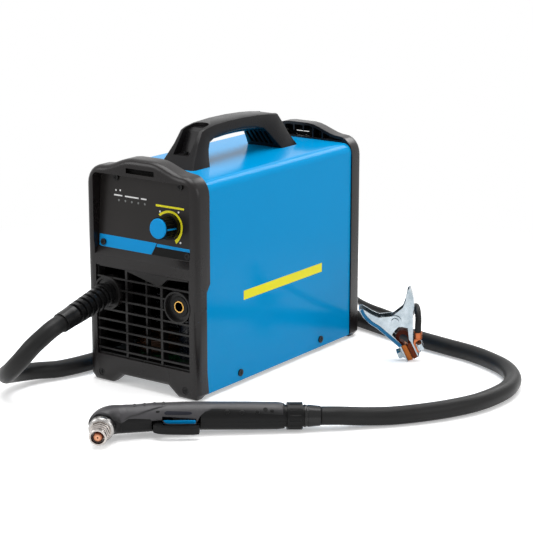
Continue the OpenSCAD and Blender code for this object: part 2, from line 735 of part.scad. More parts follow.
module shield_cup() home() color("#b9babb") at_torch() at_nozzle() rotate_extrude() polygon([
    [6.2, -6.9], [8.4, -6.9], [8.4, 0.05], [11.6, 0.05], [11.6, 4.2], [10.6, 5.6], [8.6, 6.2], [6.2, 6.2]]);

module nozzle_tip() home() color("#c77a4a") at_torch() at_nozzle() rotate_extrude() polygon([
    [4.2, -4], [6.1, -4], [6.1, 8], [5.2, 12], [4.4, 19], [3.4, 20], [0.8, 20], [0.8, 17.6], [3.4, 14],
    [4.2, 6]]);

module electrode() home() color("#b06a3c") at_torch() at_nozzle() {
    translate([0, 0, -6.95]) cylinder(r = 3.4, h = 17);
    translate([0, 0, 10]) cylinder(r1 = 3.2, r2 = 1.6, h = 4.5);
}

// wire guide that keeps the nozzle off the work: a ring, its curls and a crown
guide_turns = 3;
guide_r = 8.6;
guide_wire_r = 0.9;
guide_z = 7.9;
guide_rise = 3;

module standoff_guide() home() color("#cfd1d3") at_torch() at_nozzle() {
    translate([0, 0, 6.2]) rotate_extrude() polygon([[7, 0], [9.6, 0], [9.6, 1.2], [7, 1.2]]);
    tube([for (t = [0:1 / 8:guide_turns]) let(r = guide_r - 0.35 * t)
        [r * cos(360 * t), r * sin(360 * t), guide_z + guide_rise * t]], guide_wire_r, 6);
    translate([0, 0, 16.7]) rotate_extrude() polygon(
        [[6.3, 0], [7.9, 0], [7.9, 2.6], [7.3, 3.2], [6.3, 3.2]]);
}

module torch_trigger() home() color("#161617") at_torch() difference() {
    translate([0, 0, -6.7]) linear_extrude(13.4) polygon([
        [46.2, -10], [46.2, -20.5], [50, -23], [58, -24.6], [82, -25.2], [87, -24], [87.8, -21],
        [87.8, -19.2], [55, -19.2], [54, -10], [52, -9], [48, -9]]);
    translate([trigger_pivot.x, trigger_pivot.y, -10]) cylinder(r = 1.56, h = 20);
}

module trigger_key() home() color("#2384d2") at_torch()
    translate([55.1, -19.2, -6]) cube([29.7, 8, 12]);

module trigger_pin() home() color("#b9bcc0") at_torch()
    translate([trigger_pivot.x, trigger_pivot.y, -8.8]) cylinder(r = 1.5, h = 17.6);

module trigger_switch() home() color("#6d2320") at_torch() {
    translate([64, -5.9, -3.2]) cube([20, 10, 6.4]);
    translate([75, -8.4, -1.2]) cube([3, 2.6, 2.4]);
}

module torch_ring_nut() home() color("#1d1d1e") at_torch() rotate([0, 90, 0]) difference() {
    union() {
        translate([0, 0, 164.8]) cylinder(r = 10.2, h = 2.4);
        translate([0, 0, 167]) cylinder(r = 12.5, h = 14);
        translate([0, 0, 181]) cylinder(r = 9.8, h = 1.5);
    }
    for (a = [0:24:336]) rotate(a) translate([13.1, 0, 169]) cylinder(r = 1, h = 10);
}

module torch_boot() home() color("#1a1a1b") at_torch() rotate([0, 90, 0]) rotate_extrude() polygon([
    [0, 182.5], [10.4, 182.5], [10.4, 184], [9.8, 184.6], [9.8, 186], [10.2, 186.4],
    [9.1, 197.3], [0, 197.3]]);

// ---------- torch lead ----------

// from the strain relief round the left side and the back to the torch
torch_route = [
    [-43.5, -66.7, 76.3], [-43.6, -79, 73.4], [-47, -89, 67], [-53, -98, 58], [-63, -103, 45],
    [-77, -102, 32], [-92, -93, 23], [-103, -77, 17], [-106, -57, 13], [-102, -38, 11],
    [-94, -20, 9.2], [-88, 0, 8.8], [-83, 27, 8.8], [-80, 60, 8.8], [-79, 110, 8.8], [-79, 170, 8.8],
    [-79, 225, 8.8], [-79.5, 259, 8.8], [-77.5, 284, 8.8], [-64, 304, 8.8], [-36, 315, 8.8], [0, 316, 8.8],
    [40, 309, 8.8],
    [75, 299, 8.8], [110, 288, 8.8], [145, 279, 8.8], [180, 272, 8.8], [212, 266, 8.8],
    [241, 255, 8.8], [266, 240, 8.8], [286, 216, 8.8], [296, 188, 8.8], [297, 160, 8.8],
    [292, 130, 8.8], [280, 101, 8.8], [265, 76, 8.8], [248, 54, 8.8], [230, 35, 10],
    [214.6, 18.1, 12.2], [201.3, 7, 12.6]
];
torch_lead_path = smooth_route(torch_route, 2);
echo(torch_lead_mm = path_length(smooth_route(torch_route, 8)));

module torch_lead() home() color("#1c1c1d") tube(torch_lead_path, torch_lead_d / 2, 10);

// ---------- earth clamp ----------
// local frame: X from the jaw tips to the pivot, +Y the fixed arm's side, Z across

module at_clamp() translate(clamp_at) rotate([90 - clamp_lean, 0, clamp_heading])
    rotate([0, 0, clamp_axis]) children();

plate_t = 1.2;
ear_r = 6.4;
pin_r = 2.5;
bolt_r = 3;
bolt_x = 9;
bend = [16.5, 7.1];
function along_handle(l, inwards) = bend + l * [cos(clamp_spread), sin(clamp_spread)]
    + inwards * [sin(clamp_spread), -cos(clamp_spread)];

// the handle bows outwards at the knee and comes in again at its tip
function arm_back(l) = [bend, along_handle(l * 0.52, 0), along_handle(l * 0.68, -1.4),
    along_handle(l * 0.84, -0.8), along_handle(l, 2.4)];

module arm_cheek(l) {
    polygon(concat([[1, jaw_t + 0.32], [1, 6.6]], arm_back(l), [
        along_handle(l - 2, 5.2), along_handle(l - 9, 6.6),
        along_handle(l - 13, 7.2), along_handle(l - 21, 10),
        [pivot_l + 6.2, -0.5], [pivot_l - 6, -2], [pivot_l - 8.4, 4],
        along_handle(16, 5.2), along_handle(3, 4), [18, jaw_t + 0.32]]));
    translate([pivot_l, 0]) circle(ear_r);
}
module arm_web(l) polygon(concat([[0, jaw_t + 0.3], [0, 6.6]], arm_back(l), [
    along_handle(l - 0.3, 2.4 + plate_t), along_handle(l * 0.84, plate_t - 0.8),
    along_handle(l * 0.68, plate_t - 1.4), along_handle(l * 0.52, plate_t), [17.2, jaw_t + 0.6]]));

module bolt_hole(from) translate([bolt_x, from, 0]) rotate([-90, 0, 0]) cylinder(r = bolt_r + 0.05, h = 15);

// pressed channel: two cheeks with ears for the pin, joined by a web
module clamp_arm(l, half) difference() {
    union() {
        for (z = [-half, half - plate_t]) translate([0, 0, z]) linear_extrude(plate_t) arm_cheek(l);
        translate([0, 0, -half]) linear_extrude(2 * half) arm_web(l);
    }
    translate([pivot_l, 0, -20]) cylinder(r = pin_r + 0.06, h = 40);
    bolt_hole(0);
}

module clamp_arm_fixed() home() color("#c6cacd") at_clamp()
    clamp_arm(clamp_handle_l, clamp_w / 2 - plate_t - 0.3);
module clamp_arm_moving() home() color("#b4bcc4") at_clamp() mirror([0, 1, 0])
    clamp_arm(clamp_handle_l, clamp_w / 2);

module clamp_pin() home() color("#d4d6d8") at_clamp() translate([pivot_l, 0, 0]) {
    cylinder(r = pin_r, h = clamp_w + 2, center = true);
    for (s = [-1, 1]) translate([0, 0, s * (clamp_w / 2 + 0.9)]) cylinder(r = 4, h = 1.4, center = true);
}

// torsion spring round the pin, its legs inside the two handles
spring_turns = 2.17;
spring_z = 2.9;
spring_r = 4.3;
spring_wire_r = 0.7;

module clamp_spring() home() color("#9fa3a7") at_clamp() translate([pivot_l, 0, 0])
    tube(concat(
        [[14, 23.2, -spring_z], [4, 11.3, -spring_z], [-2.2, 4, -spring_z]],
        // the leg on the moving side ends short, clear of the handle when it is squeezed
        [for (t = [0:1 / 8:spring_turns]) let(a = 360 * t + 150)
            [spring_r * cos(a), spring_r * sin(a), spring_z * (2 * t / spring_turns - 1)]],
        [[-2.2, -4, spring_z], [4, -11.3, spring_z], [6.2, -13.9, spring_z]]
    ), spring_wire_r, 6, [0, 0, 1]);

module jaw_shoe() translate([0, 0, -4.6]) linear_extrude(9.2) polygon([
    [-0.6, 0.35], [15, 0.35], [17.5, 1.6], [17.5, jaw_t], [17, jaw_t + 0.3], [0, jaw_t + 0.3]]);

module clamp_jaw_fixed() home() color("#b4683a") at_clamp() difference() {
    jaw_shoe();
    bolt_hole(1);
}
module clamp_jaw_moving() home() color("#c27842") at_clamp() mirror([0, 1, 0]) difference() {
    jaw_shoe();
    bolt_hole(1);
}

module jaw_bolt(stack) translate([bolt_x, 0, 0]) rotate([-90, 0, 0]) {
    translate([0, 0, 1.2]) cylinder(r = bolt_r, h = stack + 11);
    translate([0, 0, 7.08 + stack]) cylinder(r = 6, h = 1.2);
    translate([0, 0, 8.28 + stack]) cylinder(r = 5.6, h = 4.6, $fn = 6);
}

module clamp_bolt_fixed() home() color("#c9ccce") at_clamp() jaw_bolt(1.82);
module clamp_bolt_moving() home() color("#c9ccce") at_clamp() mirror([0, 1, 0]) jaw_bolt(0);

module clamp_braid() home() color("#4a2a20") at_clamp() translate([0, 0, -3.6]) linear_extrude(7.2) {
    polygon(concat([[18.5, -5], [18.5, -1.5]], [for (a = [-70:20:70]) [20 + 9 * cos(a), 5 * sin(a)]],
        [[17.55, 1.5], [17.55, 5]], [for (a = [80:-20:-80]) [22 + 11.5 * cos(a), 8 * sin(a)]]));
}

// crimped lug of the work lead, bolted under the fixed arm's nut
crimp_r = 4.2;
crimp_l = 7.4;
crimp_at = along_handle(2.6, -crimp_r - 0.8);

module cable_lug() home() color("#c0703f") at_clamp() difference() {
    union() {
        translate([bolt_x, 7.15, 0]) rotate([-90, 0, 0]) cylinder(r = 6.4, h = 1.7);
        translate([0, 0, -4.5]) linear_extrude(9)
            polygon([[9, 7.15], [15.3, 7.15], [18.9, 9.6], [17.6, 14.6], [15.3, 8.85], [9, 8.85]]);
        translate(concat(crimp_at, [0])) rotate([0, 90, clamp_spread]) cylinder(r = crimp_r, h = crimp_l);
    }
    bolt_hole(5);
}

// ---------- work lead ----------

coil_at = [-80, 390];
coil_pitch = work_lead_d + 0.6;
coil_turns = 6.37;
coil_start = 46.3;
coil_r_in = 25.5;
coil_floor = work_lead_d / 2;
// spirals in on the floor and out again on top, climbing where it reverses
function coil_point(t) =
    let(half = coil_turns / 2, a = coil_start + 360 * t, r = coil_r_in + coil_pitch * abs(t - half),
        up = ease(min(1, max(0, (t - half) * 2 + 0.5))))
    [coil_at.x + r * cos(a), coil_at.y + r * sin(a), coil_floor + coil_pitch * up];
coil_steps = 24;
coil_path = [for (k = [0:ceil(coil_turns * coil_steps)]) coil_point(min(coil_turns, k / coil_steps))];
// least gap between turns, from the points half a turn or more apart
coil_gap = min([for (i = [0:len(coil_path) - 1], j = [i + coil_steps / 2:len(coil_path) - 1])
    norm(coil_path[i] - coil_path[j])]) - work_lead_d;
echo(coil_gap_mm = coil_gap, coil_mm = path_length(coil_path));

// straight end past the coil, so that the plug lies clear of the loops
coil_tail = [for (l = [6, 15, 25]) coil_point(coil_turns) - [0, l, 0]];

module work_lead_coil() home() color("#1b1b1c")
    tube(concat(coil_path, coil_tail), work_lead_d / 2, 6, [0, 0, 1]);

// up out of the lug, over behind the clamp, down to the floor and back to the coil
work_route = [
    [167.26, 234.7, 30.5], [167.54, 233.94, 37], [167.1, 235.2, 43.5], [164.3, 238.6, 50],
    [159.7, 244.2, 53.6], [154.2, 250.8, 52.6], [146.6, 260.1, 47], [137.7, 270.9, 38.5],
    [127.5, 283.2, 29], [117.4, 295.6, 20.5], [107.2, 307.9, 13.4], [97, 320.3, 8],
    [87.5, 331.8, 4.8], [79, 344.5, 3.5], [66, 355, 3.3], [47, 363, 3.3],
    [24, 371.5, 3.3], [0, 384.5, 3.3], [-20, 401.5, 3.3], [-38, 418, 3.3],
    [-45.9, 425.7, 3.3]
];
work_lead_path = smooth_route(work_route, 3);
echo(work_lead_mm = path_length(smooth_route(work_route, 8)));

module work_lead() home() color("#1b1b1c") tube(work_lead_path, work_lead_d / 2, 8, [1, 0, 0]);

// plug of the work lead, lying beside the coil
plug_at = coil_tail[2];

module earth_plug() home() translate(plug_at) rotate([90, 0, 0]) {
    color("#161617") rotate_extrude() polygon([
        [0, 0.02], [5, 0.02], [6, 12], [8.6, 16], [10.2, 20], [10.2, 48], [9.6, 52],
        [9, 52.4], [9, 56], [0, 56]]);
    color("#c8963c") translate([0, 0, 56]) cylinder(r = 4.4, h = 19);
}

front_bezel();
front_grille();
control_panel();
panel_screws();
knob();
knob_cap();
potentiometer();
potentiometer_shaft();
control_board();
socket_insulator();
socket_insert();
torch_strain_relief();
cover();
base_tray();
cover_screws();
bezel_screws();
carry_handle();
handle_screws();
rear_bezel();
rear_panel();
rear_panel_screws();
fan_frame();
fan_rotor();
power_switch();
power_rocker();
mains_gland();
air_inlet();
air_valve();
main_board();
heatsinks();
main_transformer();
output_choke();
capacitors();
torch_shell_upper();
torch_shell_lower();
torch_head();
shield_cup();
standoff_guide();
nozzle_tip();
electrode();
torch_trigger();
trigger_key();
trigger_pin();
trigger_switch();
torch_ring_nut();
torch_boot();
torch_lead();
clamp_arm_fixed();
clamp_arm_moving();
clamp_pin();
clamp_spring();
clamp_jaw_fixed();
clamp_jaw_moving();
clamp_bolt_fixed();
clamp_bolt_moving();
clamp_braid();
cable_lug();
work_lead();
work_lead_coil();
earth_plug();
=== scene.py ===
"""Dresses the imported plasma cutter: blue steel cover between black moulded bezels, carry handle,
hand torch on its lead and spring earth clamp on the work lead. Metres, in the frame's axes."""
import json
import math

import bmesh
import bpy
import numpy as np
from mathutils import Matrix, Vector


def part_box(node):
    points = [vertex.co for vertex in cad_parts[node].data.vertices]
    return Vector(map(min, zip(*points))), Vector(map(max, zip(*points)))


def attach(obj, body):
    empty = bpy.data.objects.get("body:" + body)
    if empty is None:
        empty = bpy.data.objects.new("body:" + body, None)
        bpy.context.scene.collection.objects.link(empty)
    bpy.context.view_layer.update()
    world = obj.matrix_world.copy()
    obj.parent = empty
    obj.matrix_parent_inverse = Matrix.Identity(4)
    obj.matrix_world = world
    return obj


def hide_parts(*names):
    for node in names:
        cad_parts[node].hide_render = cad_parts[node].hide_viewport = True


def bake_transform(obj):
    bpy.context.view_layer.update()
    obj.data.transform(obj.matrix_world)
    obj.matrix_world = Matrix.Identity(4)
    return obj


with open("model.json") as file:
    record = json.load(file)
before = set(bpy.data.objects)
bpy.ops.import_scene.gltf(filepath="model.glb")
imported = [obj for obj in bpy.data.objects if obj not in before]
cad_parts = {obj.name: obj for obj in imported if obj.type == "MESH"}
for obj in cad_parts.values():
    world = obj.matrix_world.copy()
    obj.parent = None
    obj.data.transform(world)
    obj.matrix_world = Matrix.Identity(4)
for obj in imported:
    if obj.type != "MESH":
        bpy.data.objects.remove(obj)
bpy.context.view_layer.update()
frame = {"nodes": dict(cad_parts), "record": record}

# ---------- camera ----------
# A long lens at table height, a little above the unit and off its right front corner.
# Sizes below are millimetres from the middle of the unit's front face on the floor.
MM = 0.001
home = np.array([-69.8, -65.8, 0.0]) * MM      # that point seen from the set's centre

camera = bpy.data.objects.new("camera", bpy.data.cameras.new("camera"))
bpy.context.collection.objects.link(camera)
camera.location = np.array([1072.763, -1293.810, 552.836]) * MM + home
camera.rotation_euler = (math.radians(75.64), 0, math.radians(35.6))
camera.data.lens = 122.95
camera.data.sensor_width = 36
camera.data.clip_end = 20
bpy.context.scene.camera = camera

# ---------- leads ----------
# The torch lead carries gas and current in one matt black rubber sheath, extruded in one length.
# The work lead is a single core welding cable in the same rubber. Both lie loose on the floor,
# and the work lead's spare length is wound in a coil behind the unit.


def node(tree, kind, links=None, **settings):
    """Adds a shader node: settings go on the node, links on its inputs, as a socket or a value."""
    made = tree.nodes.new(kind)
    for key, value in settings.items():
        setattr(made, key, value)
    for key, value in (links or {}).items():
        if isinstance(value, bpy.types.NodeSocket):
            tree.links.new(value, made.inputs[key])
        else:
            made.inputs[key].default_value = value
    return made


def calc(tree, operation, *values):
    """The result of a math node on sockets or numbers."""
    return node(tree, "ShaderNodeMath", dict(enumerate(values)), operation=operation).outputs[0]


def in_object(tree):
    """The surface's place in its object's axes."""
    return node(tree, "ShaderNodeTexCoord").outputs["Object"]


def length_of(tree, **parts):
    """Length of the vector with the given X, Y or Z."""
    joined = node(tree, "ShaderNodeCombineXYZ", parts).outputs[0]
    return node(tree, "ShaderNodeVectorMath", {0: joined}, operation="LENGTH").outputs["Value"]


def linear(hex_colour):
    """sRGB hex to linear: a channel c is c / 12.92 up to 0.04045, else ((c + 0.055) / 1.055) ** 2.4."""
    c = np.array([int(hex_colour[k:k + 2], 16) for k in (1, 3, 5)]) / 255
    c = np.where(c <= 0.04045, c / 12.92, ((c + 0.055) / 1.055) ** 2.4)
    return (*c.tolist(), 1.0)


def finish(name, colours, roughness, grain, depth, metallic=0.0, specular=0.5, drift_size=36 * MM):
    """A surface whose colour drifts between two shades over drift_size, with a fine grain in relief.

    colours are the two shades, roughness the mean of a range that follows the drift, grain the
    width of one grain and depth its height, in metres. Relief and gloss share the drift."""
    material = bpy.data.materials.new(name)
    material.use_nodes = True
    tree = material.node_tree
    shader = tree.nodes["Principled BSDF"]
    place = in_object(tree)
    drift = node(tree, "ShaderNodeTexNoise", {"Vector": place, "Scale": 1 / drift_size, "Detail": 3.0})
    shade = node(tree, "ShaderNodeMix", {"Factor": drift.outputs["Fac"], 6: linear(colours[0]),
                                         7: linear(colours[1])}, data_type="RGBA", name="shade")
    fine = node(tree, "ShaderNodeTexNoise", {"Vector": place, "Scale": 1 / grain, "Detail": 2.0},
                name="grain")
    bump = node(tree, "ShaderNodeBump", {"Height": fine.outputs["Fac"], "Distance": depth,
                                         "Strength": 0.6}, name="relief")
    gloss = node(tree, "ShaderNodeMapRange", {"Value": drift.outputs["Fac"], "From Min": 0.3,
                                              "From Max": 0.7, "To Min": roughness * 0.88,
                                              "To Max": min(1.0, roughness * 1.12)})
    tree.links.new(shade.outputs[2], shader.inputs["Base Color"])
    tree.links.new(gloss.outputs["Result"], shader.inputs["Roughness"])
    tree.links.new(bump.outputs["Normal"], shader.inputs["Normal"])
    shader.inputs["Metallic"].default_value = metallic
    shader.inputs["Specular IOR Level"].default_value = specular
    return material


def overlaid(material, share, colour):
    """Lays a second colour over the drift: base = shade + share (colour - shade)."""
    tree = material.node_tree
    mix = node(tree, "ShaderNodeMix", {"Factor": share, 6: tree.nodes["shade"].outputs[2],
                                       7: linear(colour)}, data_type="RGBA")
    tree.links.new(mix.outputs[2], tree.nodes["Principled BSDF"].inputs["Base Color"])


def raised(material, height, depth, strength=1.0):
    """Adds a relief of the given depth to the grain's."""
    tree = material.node_tree
    bump = node(tree, "ShaderNodeBump", {"Height": height, "Distance": depth, "Strength": strength,
                                         "Normal": tree.nodes["relief"].outputs["Normal"]})
    tree.links.new(bump.outputs["Normal"], tree.nodes["Principled BSDF"].inputs["Normal"])


def rectangle(left, right, low, high):
    """Outline of a rectangle, its corners in turn."""
    return [[left, low], [right, low], [right, high], [left, high]]


def through(points, steps):
    """Catmull-Rom curve through points: each span is a cubic whose ends follow the neighbours."""
    p = np.array(points, float)
    p = np.vstack([2 * p[0] - p[1], p, 2 * p[-1] - p[-2]])
    t = np.arange(steps)[:, None] / steps
    spans = [0.5 * (2 * b + (c - a) * t + (2 * a - 5 * b + 4 * c - d) * t ** 2
                    + (3 * b - a - 3 * c + d) * t ** 3)
             for a, b, c, d in zip(p, p[1:], p[2:], p[3:])]
    return np.vstack(spans + [p[-2:-1]])


def surface(name, grid, material, closed=True, caps=False):
    """A mesh on a grid of points, rows along and columns round, with its ends capped if asked.

    The UV map holds columns as 0 to 1 and rows as metres along the middle. Faces are turned
    outwards by the sign of the volume, a sixth of the sum of a . (b x c) over the triangles."""
    rows, cols = grid.shape[:2]
    index = np.arange(rows * cols).reshape(rows, cols)
    here = index if closed else index[:, :-1]
    next_one = np.roll(index, -1, axis=1) if closed else index[:, 1:]
    quads = np.stack([here[:-1], next_one[:-1], next_one[1:], here[1:]], axis=-1).reshape(-1, 4)
    row_gaps = np.linalg.norm(np.diff(grid.mean(1), axis=0), axis=1)
    across, along = np.meshgrid(np.arange(here.shape[1]) / here.shape[1], np.r_[0, np.cumsum(row_gaps)])
    step = 1 / here.shape[1]
    uv = np.stack([np.stack([across[:-1], across[:-1] + step, across[1:] + step, across[1:]], -1),
                   np.stack([along[:-1], along[:-1], along[1:], along[1:]], -1)], -1).reshape(-1, 2)
    points = grid.reshape(-1, 3)
    a, b, c, d = (points[quads[:, k]] for k in range(4))
    volume = np.sum(a * np.cross(b, c)) + np.sum(a * np.cross(c, d))
    ends = []
    if caps:
        for ring in (index[0][::-1], index[-1]):
            fan = points[ring]
            volume += np.sum(fan[0] * np.cross(fan[1:-1], fan[2:]))
            ends.append(ring)
    if closed and volume < 0:
        quads, uv = quads[:, ::-1], uv.reshape(-1, 4, 2)[:, ::-1].reshape(-1, 2)
        ends = [ring[::-1] for ring in ends]
    mesh = bpy.data.meshes.new(name)
    mesh.from_pydata(points.tolist(), [], quads.tolist() + [ring.tolist() for ring in ends])
    layer = mesh.uv_layers.new(name="UVMap")
    uv = np.vstack([uv, np.zeros((sum(len(ring) for ring in ends), 2))])
    layer.data.foreach_set("uv", uv.ravel())
    mesh.shade_smooth()
    mesh.materials.append(material)
    piece = bpy.data.objects.new(name, mesh)
    bpy.context.collection.objects.link(piece)
    return piece


def sweep(path, radius, sides):
    """Rings round a path: each point's ring is centre + r (n cos a + b sin a), n carried untwisted."""
    along = np.gradient(path, axis=0)
    along /= np.linalg.norm(along, axis=1, keepdims=True)
    normal = np.empty_like(path)
    n = np.array([0.3, 0.2, 0.9])
    for k, t in enumerate(along):
        n = n - (n @ t) * t
        n /= np.linalg.norm(n)
        normal[k] = n
    across = np.cross(along, normal)
    a = np.linspace(0, 2 * np.pi, sides, endpoint=False)[None, :, None]
    r = np.broadcast_to(np.asarray(radius, float), (len(path),))[:, None, None]
    return path[:, None] + r * (normal[:, None] * np.cos(a) + across[:, None] * np.sin(a))


# Extruded rubber: dull black, with faint flow lines along it 3 mm apart and dusty scuffs.
sheath = finish("extruded_rubber", ("#131313", "#1C1C1C"), 0.42, 0.9 * MM, 0.1 * MM, specular=0.18)
tree = sheath.node_tree
lines = node(tree, "ShaderNodeTexNoise", {
    "Vector": node(tree, "ShaderNodeMapping", {"Vector": node(tree, "ShaderNodeUVMap").outputs["UV"],
                                               "Scale": (18.0, 4.0, 1.0)}).outputs["Vector"],
    "Scale": 1.0, "Detail": 2.0})
raised(sheath, lines.outputs["Fac"], 0.25 * MM, 0.5)

torch_lead_d = 17 * MM
torch_route = [
    [-43.5, -66.7, 76.3], [-43.6, -79, 73.4], [-47, -89, 67], [-53, -98, 58], [-63, -103, 45],
    [-77, -102, 32], [-92, -93, 23], [-103, -77, 17], [-106, -57, 13], [-102, -38, 11],
    [-94, -20, 9.2], [-88, 0, 8.8], [-83, 27, 8.8], [-80, 60, 8.8], [-79, 110, 8.8], [-79, 170, 8.8],
    [-79, 225, 8.8], [-79.5, 259, 8.8], [-77.5, 284, 8.8], [-64, 304, 8.8], [-36, 315, 8.8],
    [0, 316, 8.8], [40, 309, 8.8], [75, 299, 8.8], [110, 288, 8.8], [145, 279, 8.8], [180, 272, 8.8],
    [212, 266, 8.8], [241, 255, 8.8], [266, 240, 8.8], [286, 216, 8.8], [296, 188, 8.8],
    [297, 160, 8.8], [292, 130, 8.8], [280, 101, 8.8], [265, 76, 8.8], [248, 54, 8.8], [230, 35, 10],
    [214.6, 18.1, 12.2], [201.3, 7, 12.6]]
torch_path = through(torch_route, 6) * MM + home
torch_lead = surface("torch_lead_rubber", sweep(torch_path, torch_lead_d / 2, 32), sheath, caps=True)
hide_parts("torch_lead")
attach(torch_lead, "unit")

work_lead_d = 6.5 * MM
work_route = [
    [167.26, 234.7, 30.5], [167.54, 233.94, 37], [167.1, 235.2, 43.5], [164.3, 238.6, 50],
    [159.7, 244.2, 53.6], [154.2, 250.8, 52.6], [146.6, 260.1, 47], [137.7, 270.9, 38.5],
    [127.5, 283.2, 29], [117.4, 295.6, 20.5], [107.2, 307.9, 13.4], [97, 320.3, 8],
    [87.5, 331.8, 4.8], [79, 344.5, 3.5], [66, 355, 3.3], [47, 363, 3.3],
    [24, 371.5, 3.3], [0, 384.5, 3.3], [-20, 401.5, 3.3], [-38, 418, 3.3], [-45.9, 425.7, 3.3]]
coil_centre = np.array([-80, 390]) * MM
coil_turns, coil_start, coil_inner, coil_pitch = 6.37, 46.3, 25.5 * MM, 7.1 * MM


def coil(steps):
    """Spiral in on the floor and out on top: r = inner + pitch |t - half|, z climbs where it turns."""
    t = np.linspace(0, coil_turns, int(coil_turns * steps) + 1)
    a = np.radians(coil_start + 360 * t)
    r = coil_inner + coil_pitch * np.abs(t - coil_turns / 2)
    up = np.clip((t - coil_turns / 2) * 2 + 0.5, 0, 1)
    up = up * up * (3 - 2 * up)
    return np.stack([coil_centre[0] + r * np.cos(a), coil_centre[1] + r * np.sin(a),
                     work_lead_d / 2 + coil_pitch * up], axis=1) + home


loops = coil(48)
tail = loops[-1] - np.array([[0, 6, 0], [0, 15, 0], [0, 25, 0]]) * MM
work_path = np.vstack([(through(work_route, 6) * MM + home)[:-1], loops, tail])
work_lead = surface("work_lead_rubber", sweep(work_path, work_lead_d / 2, 16), sheath, caps=True)
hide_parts("work_lead", "work_lead_coil")
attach(work_lead, "unit")

# The plug on the work lead: moulded nylon grip, smooth and nearly black, with a turned brass pin.
# The pin is the part that lies past the grip, towards the front.
plug_nylon = finish("moulded_nylon_plug", ("#151516", "#1c1c1d"), 0.4, 0.8 * MM, 0.05 * MM)
tree = plug_nylon.node_tree
grip_end = float(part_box("earth_plug")[0][1]) + 19 * MM
past = calc(tree, "LESS_THAN", node(tree, "ShaderNodeSeparateXYZ", {0: in_object(tree)}).outputs["Y"],
            grip_end)
overlaid(plug_nylon, past, "#C9A050")
tree.links.new(past, tree.nodes["Principled BSDF"].inputs["Metallic"])
frame["nodes"]["earth_plug"].data.materials.clear()
frame["nodes"]["earth_plug"].data.materials.append(plug_nylon)

# ---------- floor and light ----------
# White paper on a table in a white room, with a large soft box overhead and one on each side, and
# a fourth behind that draws the shine along the upper edges.
# Past half a metre the paper is as white as the room, and near the set it keeps the shadows.
paper = bpy.data.materials.new("white_backdrop_paper")
paper.use_nodes = True
tree = paper.node_tree
sheet = tree.nodes["Principled BSDF"]
sheet.inputs["Base Color"].default_value = linear("#F4F4F4")
sheet.inputs["Roughness"].default_value = 1.0
sheet.inputs["Specular IOR Level"].default_value = 0.0


def seen(tree):
    """1 where a ray comes from the camera, a mirror or glass, 0 where it only carries light."""
    rays = node(tree, "ShaderNodeLightPath").outputs
    mirror = calc(tree, "MAXIMUM", rays["Is Glossy Ray"], rays["Is Transmission Ray"])
    return calc(tree, "MAXIMUM", rays["Is Camera Ray"], mirror)


far_off = node(tree, "ShaderNodeMapRange", {
    "Value": node(tree, "ShaderNodeVectorMath", {0: in_object(tree)}, operation="LENGTH").outputs["Value"],
    "From Min": 0.35, "From Max": 0.75, "To Min": 0.0, "To Max": 1.0}, interpolation_type="SMOOTHSTEP")
white_far = calc(tree, "MULTIPLY", seen(tree), far_off.outputs["Result"])
plain_white = node(tree, "ShaderNodeEmission", {"Color": linear("#FFFFFF"), "Strength": 1.0})
paper_lift = 0.32      # how much whiter the paper looks than the lamps alone make it
lift = node(tree, "ShaderNodeEmission", {"Color": linear("#FFFFFF"),
                                         "Strength": calc(tree, "MULTIPLY", seen(tree), paper_lift)})
near = node(tree, "ShaderNodeAddShader", {0: sheet.outputs[0], 1: lift.outputs[0]})
both = node(tree, "ShaderNodeMixShader", {0: white_far, 1: near.outputs[0], 2: plain_white.outputs[0]})
tree.links.new(both.outputs[0], tree.nodes["Material Output"].inputs["Surface"])
floor_half = 4.0
floor = surface("floor", floor_half * np.array([[[-1, -1, 0], [1, -1, 0]], [[-1, 1, 0], [1, 1, 0]]]),
                paper, closed=False)

world = bpy.data.worlds.new("studio")
bpy.context.scene.world = world
world.use_nodes = True
tree = world.node_tree
tree.nodes["Background"].inputs["Color"].default_value = linear("#FFFFFF")
level = node(tree, "ShaderNodeMapRange", {"Value": seen(tree), "To Min": 0.5, "To Max": 1.0})
tree.links.new(level.outputs["Result"], tree.nodes["Background"].inputs["Strength"])


def soft_box(name, place, aim, size, watts):
    """A square area lamp at place, turned to face aim."""
    lamp = bpy.data.objects.new(name, bpy.data.lights.new(name, "AREA"))
    lamp.data.size = size
    lamp.data.energy = watts
    lamp.location = place
    lamp.rotation_euler = (Vector(aim) - Vector(place)).to_track_quat("-Z", "Y").to_euler()
    bpy.context.collection.objects.link(lamp)
    return lamp


soft_box("overhead_box", (-0.12, 0.05, 1.9), (0, 0, 0), 1.5, 34)
soft_box("left_box", (-1.3, -1.5, 1.2), (0, 0, 0.1), 1.0, 12)
soft_box("right_box", (1.9, 0.1, 0.9), (0, 0, 0.1), 1.0, 7)
soft_box("rear_box", (0.1, 1.7, 1.35), (0, 0, 0.15), 0.8, 12)
bpy.context.scene.view_settings.view_transform = "Standard"

# ---------- bezels ----------
# Front and rear end mouldings that hold the sheet metal together, injection moulded in ABS in a
# tool with a spark eroded grain. Their outer rims are rounded, and the feet are part of them.


